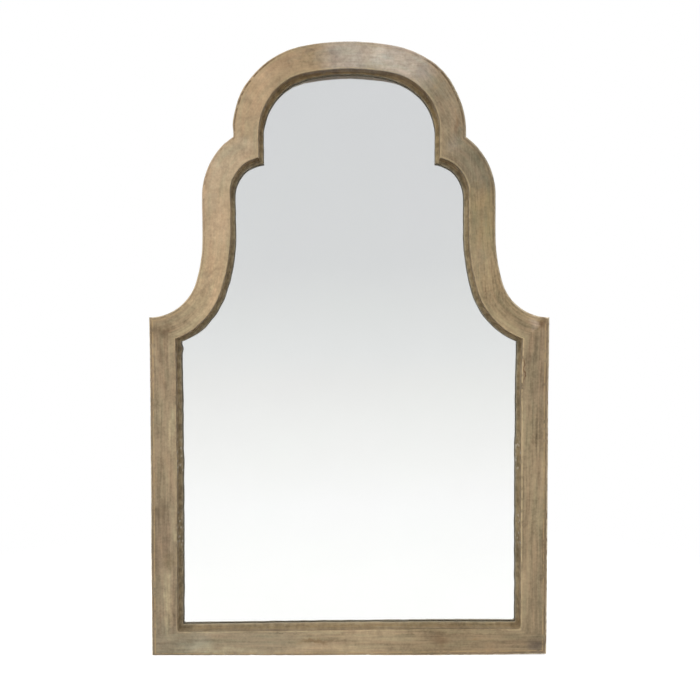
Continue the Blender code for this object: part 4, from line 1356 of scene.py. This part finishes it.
# The lip's rounded edge: dark as painted shade, lighter where it faces up and where it faces left, as
# painted light
lip_edge_shade_and_light = "6c6450"
for source, limits, tint in ((facing, (0.2, 0.8), "b3a88f"), (facing_side, (-0.2, -0.8), "958e79")):
    lip_edge_shade_and_light = wood(LAID_OVER, wood(SMOOTH, source, *limits), lip_edge_shade_and_light, tint)
lip_edge = wood(SMOOTH, walked, AT_LIP_EDGE + 0.8 * MM, AT_SIGHT)
stain_and_painted_light = wood(LAID_OVER, wood(TIMES, lip_edge, 0.55), stain_and_painted_light, lip_edge_shade_and_light)
print("the recess starts", round(AT_WALL / MM, 1), "mm round the section, the lip", round(AT_LIP / MM, 1))

# %% [markdown]
# A dark line of wash stayed on the rounded outer edge. Beside it, and on the arris of the step, the
# wood is bare; the pale line on the arris, stronger on the right, is a painted highlight as well. On
# the wall just under the arris a dark line is painted shade, and where the wall meets the lip a pale
# line is a painted highlight. The outer side of the frame is darkened as painted shade. Each line
# follows the section at its own distance, and its ends are torn.

# %% Worn and dark lines along the edges
TORN_SIZE = 9 * MM
wider = wood(SMOOTH, place_x, -0.05, 0.25)
edge = wood(LESS, walked, wood(TIMES, wider, 1.2 * MM))
torn = wood(SMOOTH, wash_pattern(place, TORN_SIZE, TORN_SIZE, 3.0, 0.55), 0.34, 0.54)
bare = wood(SMOOTH, height, 0.5, 0.85, 1.0, 0.5)
on_top = wood(SMOOTH, height, 1.005, 0.975, 0.2, 1.0)
lined = wood(TIMES, wood(SMOOTH, height, 0.84, 0.92, 0.4, 0.9), on_top)
worn_and_highlit = wood(SMOOTH, place_x, 0.215, 0.275, 0.4, 0.8)
worn_and_highlit = wood(TIMES, worn_and_highlit, wood(SMOOTH, height, 0.05, 0.20, 0.6, 1.0))
worn_line = wood(SMOOTH, height, 0.55, 0.60, 0.5, 0.15)
for line, at, width, strength, tint in (
    (edge, AT_EDGE + 1.5 * MM, 3.0 * MM, bare, "cdbda2"),
    (edge, AT_EDGE + 5.6 * MM, 2.0 * MM, lined, "5c4a34"),
    (edge, AT_FACE + 2.0 * MM, 1.6 * MM, worn_line, "b3966a"),
    # Worn bare arris, with a painted highlight, stronger on the right
    (walked, AT_ARRIS + 0.2 * MM, 1.5 * MM, worn_and_highlit, "c0aa84"),
    # Painted shade on the wall just under the arris
    (walked, AT_WALL + 0.9 * MM, 1.2 * MM, 0.35, "5a4831"),
    # Painted highlight where the wall meets the lip
    (walked, AT_LIP, 1.0 * MM, 0.50, "a38e68"),
):
    away = wood(SIZE_OF, wood(LESS, line, at))
    worn = wood(TIMES, wood(SMOOTH, away, width, width * 0.35), torn)
    stain_and_painted_light = wood(LAID_OVER, wood(TIMES, worn, strength), stain_and_painted_light, tint)
# The outer side of the frame, darkened as painted shade
outer_side_shade = wood(SMOOTH, about, AT_EDGE - 1 * MM, AT_EDGE - 5 * MM)
outer_side_shade = wood(TIMES, outer_side_shade, 0.35)
stain_and_painted_light = wood(LAID_OVER, outer_side_shade, stain_and_painted_light, "5f4c36")
print("torn ends", round(TORN_SIZE / MM), "mm long")

# %% [markdown]
# Wash that dried in the step left pale flecks, most of them at two heights of the side walls. Small
# cells of a Voronoi pattern give them their round, separate shape.

# %% Flecks of dried wash
FLECK_SPACING = 4.5 * MM
FLECKED_HEIGHTS = (0.332, 0.212)
stretched = wood(SCALED, place, (1, 0.3, 0.6))
fleck = wood(("TexVoronoi", {}), stretched, 1 / FLECK_SPACING)
mottled = wood(TIMES, wood(LESS, mottle, 0.5), 0.5)
fleck = wood(SMOOTH, wood(ADD, fleck, mottled), 0.45, 0.16)
gathered = 0.12
for fleck_height in FLECKED_HEIGHTS:
    away = wood(SIZE_OF, wood(LESS, height, fleck_height))
    near = wood(SMOOTH, away, 42 * MM, 14 * MM, 0, 0.85)
    gathered = wood(MOST, gathered, near)
in_step = wood(SMOOTH, walked, AT_ARRIS, AT_WALL + 4 * MM)
fleck = wood(TIMES, wood(TIMES, fleck, gathered), in_step)
stain_and_painted_light = wood(LAID_OVER, fleck, stain_and_painted_light, "c2b8a4")
print("flecks gather at", FLECKED_HEIGHTS)

# %% [markdown]
# Behind, the wood is unfinished. Where the lip covers the glass its back is painted pale, as painted
# light that stands in for the light that comes in through the glass. Wax shines more where the wash
# was rubbed, and not on the raw wood. Ridges of the grain and the brush catch the light, and their
# heights are real ones, in metres.

# %% Raw wood, wax and ridges
unfinished = wood(SMOOTH, walked, AT_HIDDEN - 0.2 * MM, AT_HIDDEN + 0.4 * MM)
raw_wood_and_painted_light = "c2a47c"
for source, limits, tint in (
    (streak, (0.35, 0.65), "a58459"),
    (fibre, (0.45, 0.75, 0, 0.5), "6d5336"),
    # The pale back of the lip: painted light for the light that comes through the glass
    (walked, (AT_HIDDEN + 9 * MM, AT_HIDDEN + 5 * MM), "ddcdae"),
):
    raw_wood_and_painted_light = wood(LAID_OVER, wood(SMOOTH, source, *limits), raw_wood_and_painted_light, tint)
gloss = wood(SMOOTH, small_cloud, 0.30, 0.75, 0.46, 0.64)
ridges = wood(TIMES, streak, 0.30 * MM)
for pattern, ridge_height in ((fibre, 0.10 * MM), (small_cloud, 0.35 * MM)):
    ridges = wood(ADD, ridges, wood(TIMES, pattern, ridge_height))
feed(
    wood_shader,
    base_color=wood(LAID_OVER, unfinished, stain_and_painted_light, raw_wood_and_painted_light),
    roughness=wood(ADD, gloss, wood(TIMES, unfinished, 0.25)),
    normal=wood(BUMPS, 0.6, 1.0, None, ridges),
)
for made_board in boards.values():
    give(made_board, washed)
print("the wood has", len(washed.node_tree.nodes), "nodes")

# %% [markdown]
# Float glass is clear and very faintly green, and its polish lets the silver behind it show sharp.
# The silver was deposited on the glass. It returns most of the light, with a haze too faint to see by
# itself, and a sprayed coat of grey paint protects its back.

# %% Glass and silver
def clouded(name, scale, detail, dark, light, **constants):
    """A polished material whose colour varies slowly between two that are nearly the same."""
    made, add, shader = new_material(name, roughness=0.0, **constants)
    waves = add(NOISE, add(COORDINATES, output="Object"), scale, detail)
    feed(shader, base_color=add(LAID_OVER, waves, dark, light))
    return made


clear = clouded(
    "clear_polished_float_glass", 6.0, 1.0, "fdfdfd", "fdfefd", transmission_weight=1.0, ior=1.52
)
silver = clouded("deposited_silver_mirror", 9.0, 3.0, "f5f5f4", "f8f8f7", metallic=1.0)
give(glass, clear)
print(clear.name, silver.name)

# %% [markdown]
# The other materials are plain, and each varies between two near colours and two roughnesses:
# zinc plating on the bent and turned steel is pale, slightly uneven and half dull; the paint behind
# the silver is a flat grey with a fine spray grain; moulded rubber is nearly black and dull; the
# foam is white with open cells that give no shine; the turned beech dowels are warm and smooth.

# %% Steel, paint, rubber, foam and beech
def speckled(name, dark, light, size, roughness, depth, **constants):
    """A material that varies between two colours and two roughnesses, with bumps to match."""
    made, add, shader = new_material(name, **constants)
    spots = add(NOISE, add(COORDINATES, output="Object"), 1 / size, 4.0)
    spread = add(SPREAD, spots, 0.3, 0.7)
    feed(
        shader,
        base_color=add(LAID_OVER, spread, dark, light),
        roughness=add(SPREAD, spots, 0.3, 0.7, *roughness),
        normal=add(BUMPS, 0.6, 1.0, None, add(TIMES, spots, depth)),
    )
    return made


zinc = speckled(
    "zinc_plated_steel", "a9a79d", "d0cec4", 3 * MM, (0.28, 0.42), 0.02 * MM, metallic=1.0
)
backing = speckled("sprayed_grey_backing_paint", "6d7072", "787b7c", 2 * MM, (0.5, 0.65), 0.01 * MM)
rubber = speckled("moulded_dark_rubber", "26262a", "343436", 0.7 * MM, (0.72, 0.88), 0.03 * MM)
foam_white = speckled("open_cell_white_foam", "d8d8d4", "efefec", 1 * MM, (0.9, 1.0), 0.2 * MM)
beech = speckled("turned_beech_dowel", "b98f62", "d1ab7d", 1.2 * MM, (0.6, 0.75), 0.05 * MM)
give(silvering, silver, backing)
for face in silvering.data.polygons:
    face.material_index = 0 if face.normal.y < -0.5 else 1
give(foam, foam_white)
for obj in steel:
    give(obj, zinc)
for obj in pads:
    give(obj, rubber)
print("materials", len(bpy.data.materials))

# %% [markdown]
# Hardboard is brown and cloudy with short fibres, and the back that shows has the print of the wire
# mesh on which the wet board was pressed: two waves of ridges that cross at right angles.

# %% Hardboard, and what stands for itself
FIBRE_SPOTS = 4 * MM
MESH_SPACING = 3 * MM  # the real wires are 1.2 mm apart, too fine for a picture of this size
WAVE_SCALE = math.pi / 10 / MESH_SPACING
hardboard, press, board_shader = new_material("pressed_hardboard_with_mesh_print")
board_place = press(COORDINATES, output="Object")
fibres = press(NOISE, board_place, 1 / FIBRE_SPOTS, 6.0)
clouds = press(TIMES, press(NOISE, board_place, 7.0, 1.0), 0.5)
spread = press(SPREAD, press(ADD, fibres, clouds), 0.4, 1.1)
mesh_print = 0.0
for direction in ("X", "Z"):
    wires = press(("TexWave", {"bands_direction": direction}), board_place, WAVE_SCALE, output="Fac")
    mesh_print = press(MOST, wires, mesh_print)
feed(
    board_shader,
    base_color=press(LAID_OVER, spread, "60442d", "8a6642"),
    roughness=press(SPREAD, fibres, 0.3, 0.7, 0.72, 0.9),
    normal=press(BUMPS, 0.7, 1.0, None, press(TIMES, mesh_print, 0.25 * MM)),
)
for node_name, node_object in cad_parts.items():
    for kept, material in (("dowel", beech), ("glass_pad", rubber), ("back_panel", hardboard)):
        if kept in node_name:
            for material_slot in node_object.material_slots:
                material_slot.material = material
print("pieces kept as they are drawn:", sum("dowel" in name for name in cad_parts), "dowels")

# %% [markdown]
# The studio is plain. The camera sees white all round. Mirrors and glass see the studio of the
# photograph, which is light grey above eye level and white towards the floor.

# %% World
SKY_STEPS = (
    (-16, "ffffff"),
    (-11, "fafafb"),
    (-8, "f4f4f4"),
    (-5, "eeeeee"),
    (-2.4, "e8e8e8"),
    (0, "e2e3e4"),
    (3, "dcddde"),
    (6, "d6d7d9"),
    (18.5, "d2d3d6"),
)
REFLECTED_STRENGTH = 1.12
AMBIENT = 0.2
studio = bpy.data.worlds.new("studio")
bpy.context.scene.world = studio
studio.use_nodes = True
sky = functools.partial(add_node, studio.node_tree)
sky_low, *_, sky_high = (math.sin(math.radians(angle)) for angle, _ in SKY_STEPS)
up = sky(PART_OF, sky(COORDINATES, output="Generated"), output="Z")
ramp = sky(("ValToRGB", {}), sky(SPREAD, up, sky_low, sky_high))
elements = ramp.node.color_ramp.elements
while len(elements) < len(SKY_STEPS):
    elements.new(0.5)
for element, (angle, colour) in zip(elements, SKY_STEPS):
    element.position = (math.sin(math.radians(angle)) - sky_low) / (sky_high - sky_low)
    element.color = linear(colour)
to_camera, glossy, through = (
    sky(RAYS, output=f"Is {ray} Ray") for ray in ("Camera", "Glossy", "Transmission")
)
mirrored = sky(MOST, glossy, through)
strength = sky(EITHER, mirrored, AMBIENT, REFLECTED_STRENGTH)
background = studio.node_tree.nodes["Background"]
feed(
    background,
    color=sky(LAID_OVER, mirrored, WHITE, ramp),
    strength=sky(EITHER, to_camera, strength, 1.0),
)
print("grey of the reflected studio in", len(elements), "steps")

# %% [markdown]
# A pale floor shows the mirror's shadow. It fades out far off, and it isn't in reflections. It is
# painted and very finely grained, so that it looks like even paper.

# %% Floor
FLOOR_RADIUS = 3.0
FLOOR_DROP = 0.5 * MM
FLOOR_GRAIN = 2 * MM
FLOOR_GLOW = 0.7
FLOOR_FADE = (0.5, 1.1)
bpy.ops.object.select_all(action="DESELECT")
bpy.ops.mesh.primitive_circle_add(
    vertices=96, radius=FLOOR_RADIUS, fill_type="NGON", location=(0, 0, -FLOOR_DROP)
)
floor = new_piece("studio_floor")
only(floor)
bpy.ops.object.transform_apply(location=True, rotation=True, scale=True)
pale, paint, floor_shader = new_material("pale_studio_floor", roughness=0.9, emission_color=WHITE)
floor_place = paint(COORDINATES, output="Object")
grain = paint(NOISE, floor_place, 1 / FLOOR_GRAIN, 2.0)
away = paint(LENGTH, floor_place)
seen = paint(RAYS, output="Is Camera Ray")
feed(
    floor_shader,
    base_color=paint(LAID_OVER, grain, "e6e6e5", "ededec"),
    alpha=paint(SMOOTH, away, *FLOOR_FADE, 1.0, 0.0),
    emission_strength=paint(TIMES, seen, FLOOR_GLOW),
)
give(floor, pale)
floor.visible_glossy = False
floor.visible_transmission = False
print("floor", 2 * FLOOR_RADIUS, "m across")

# %% [markdown]
# A large soft lamp stands high at the front left, two weaker ones light the sides, and one lights
# the back. The glass doesn't show the lamps in front, which would stand in it as bright squares. Its
# reflections leave it as transmitted light, so a lamp is hidden from both kinds of ray.

# %% Lamps
def add_lamp(name, place, size, power, mirrored=False):
    """A soft square lamp that points at the mirror's middle, and whether glossy surfaces show it."""
    bpy.ops.object.select_all(action="DESELECT")
    towards = Vector((0, 0, FRAME_HEIGHT / 2)) - Vector(place)
    turn = towards.to_track_quat("-Z", "Y").to_euler()
    bpy.ops.object.light_add(type="AREA", location=place, rotation=turn)
    lamp = bpy.context.object
    lamp.name = name
    lamp.data.shape = "SQUARE"
    lamp.data.size = size
    lamp.data.energy = power
    lamp.visible_glossy = mirrored
    lamp.visible_transmission = mirrored
    print(name, power, "W, side", size, "m")


add_lamp("key_lamp", (-0.4, -1.5, 2.9), 1.2, 52)
add_lamp("left_fill_lamp", (-1.75, -1.35, 0.8), 1.1, 20)
add_lamp("right_fill_lamp", (1.75, -1.35, 0.8), 1.1, 13)
add_lamp("back_lamp", (0.6, 2.2, 1.9), 1.4, 26, mirrored=True)
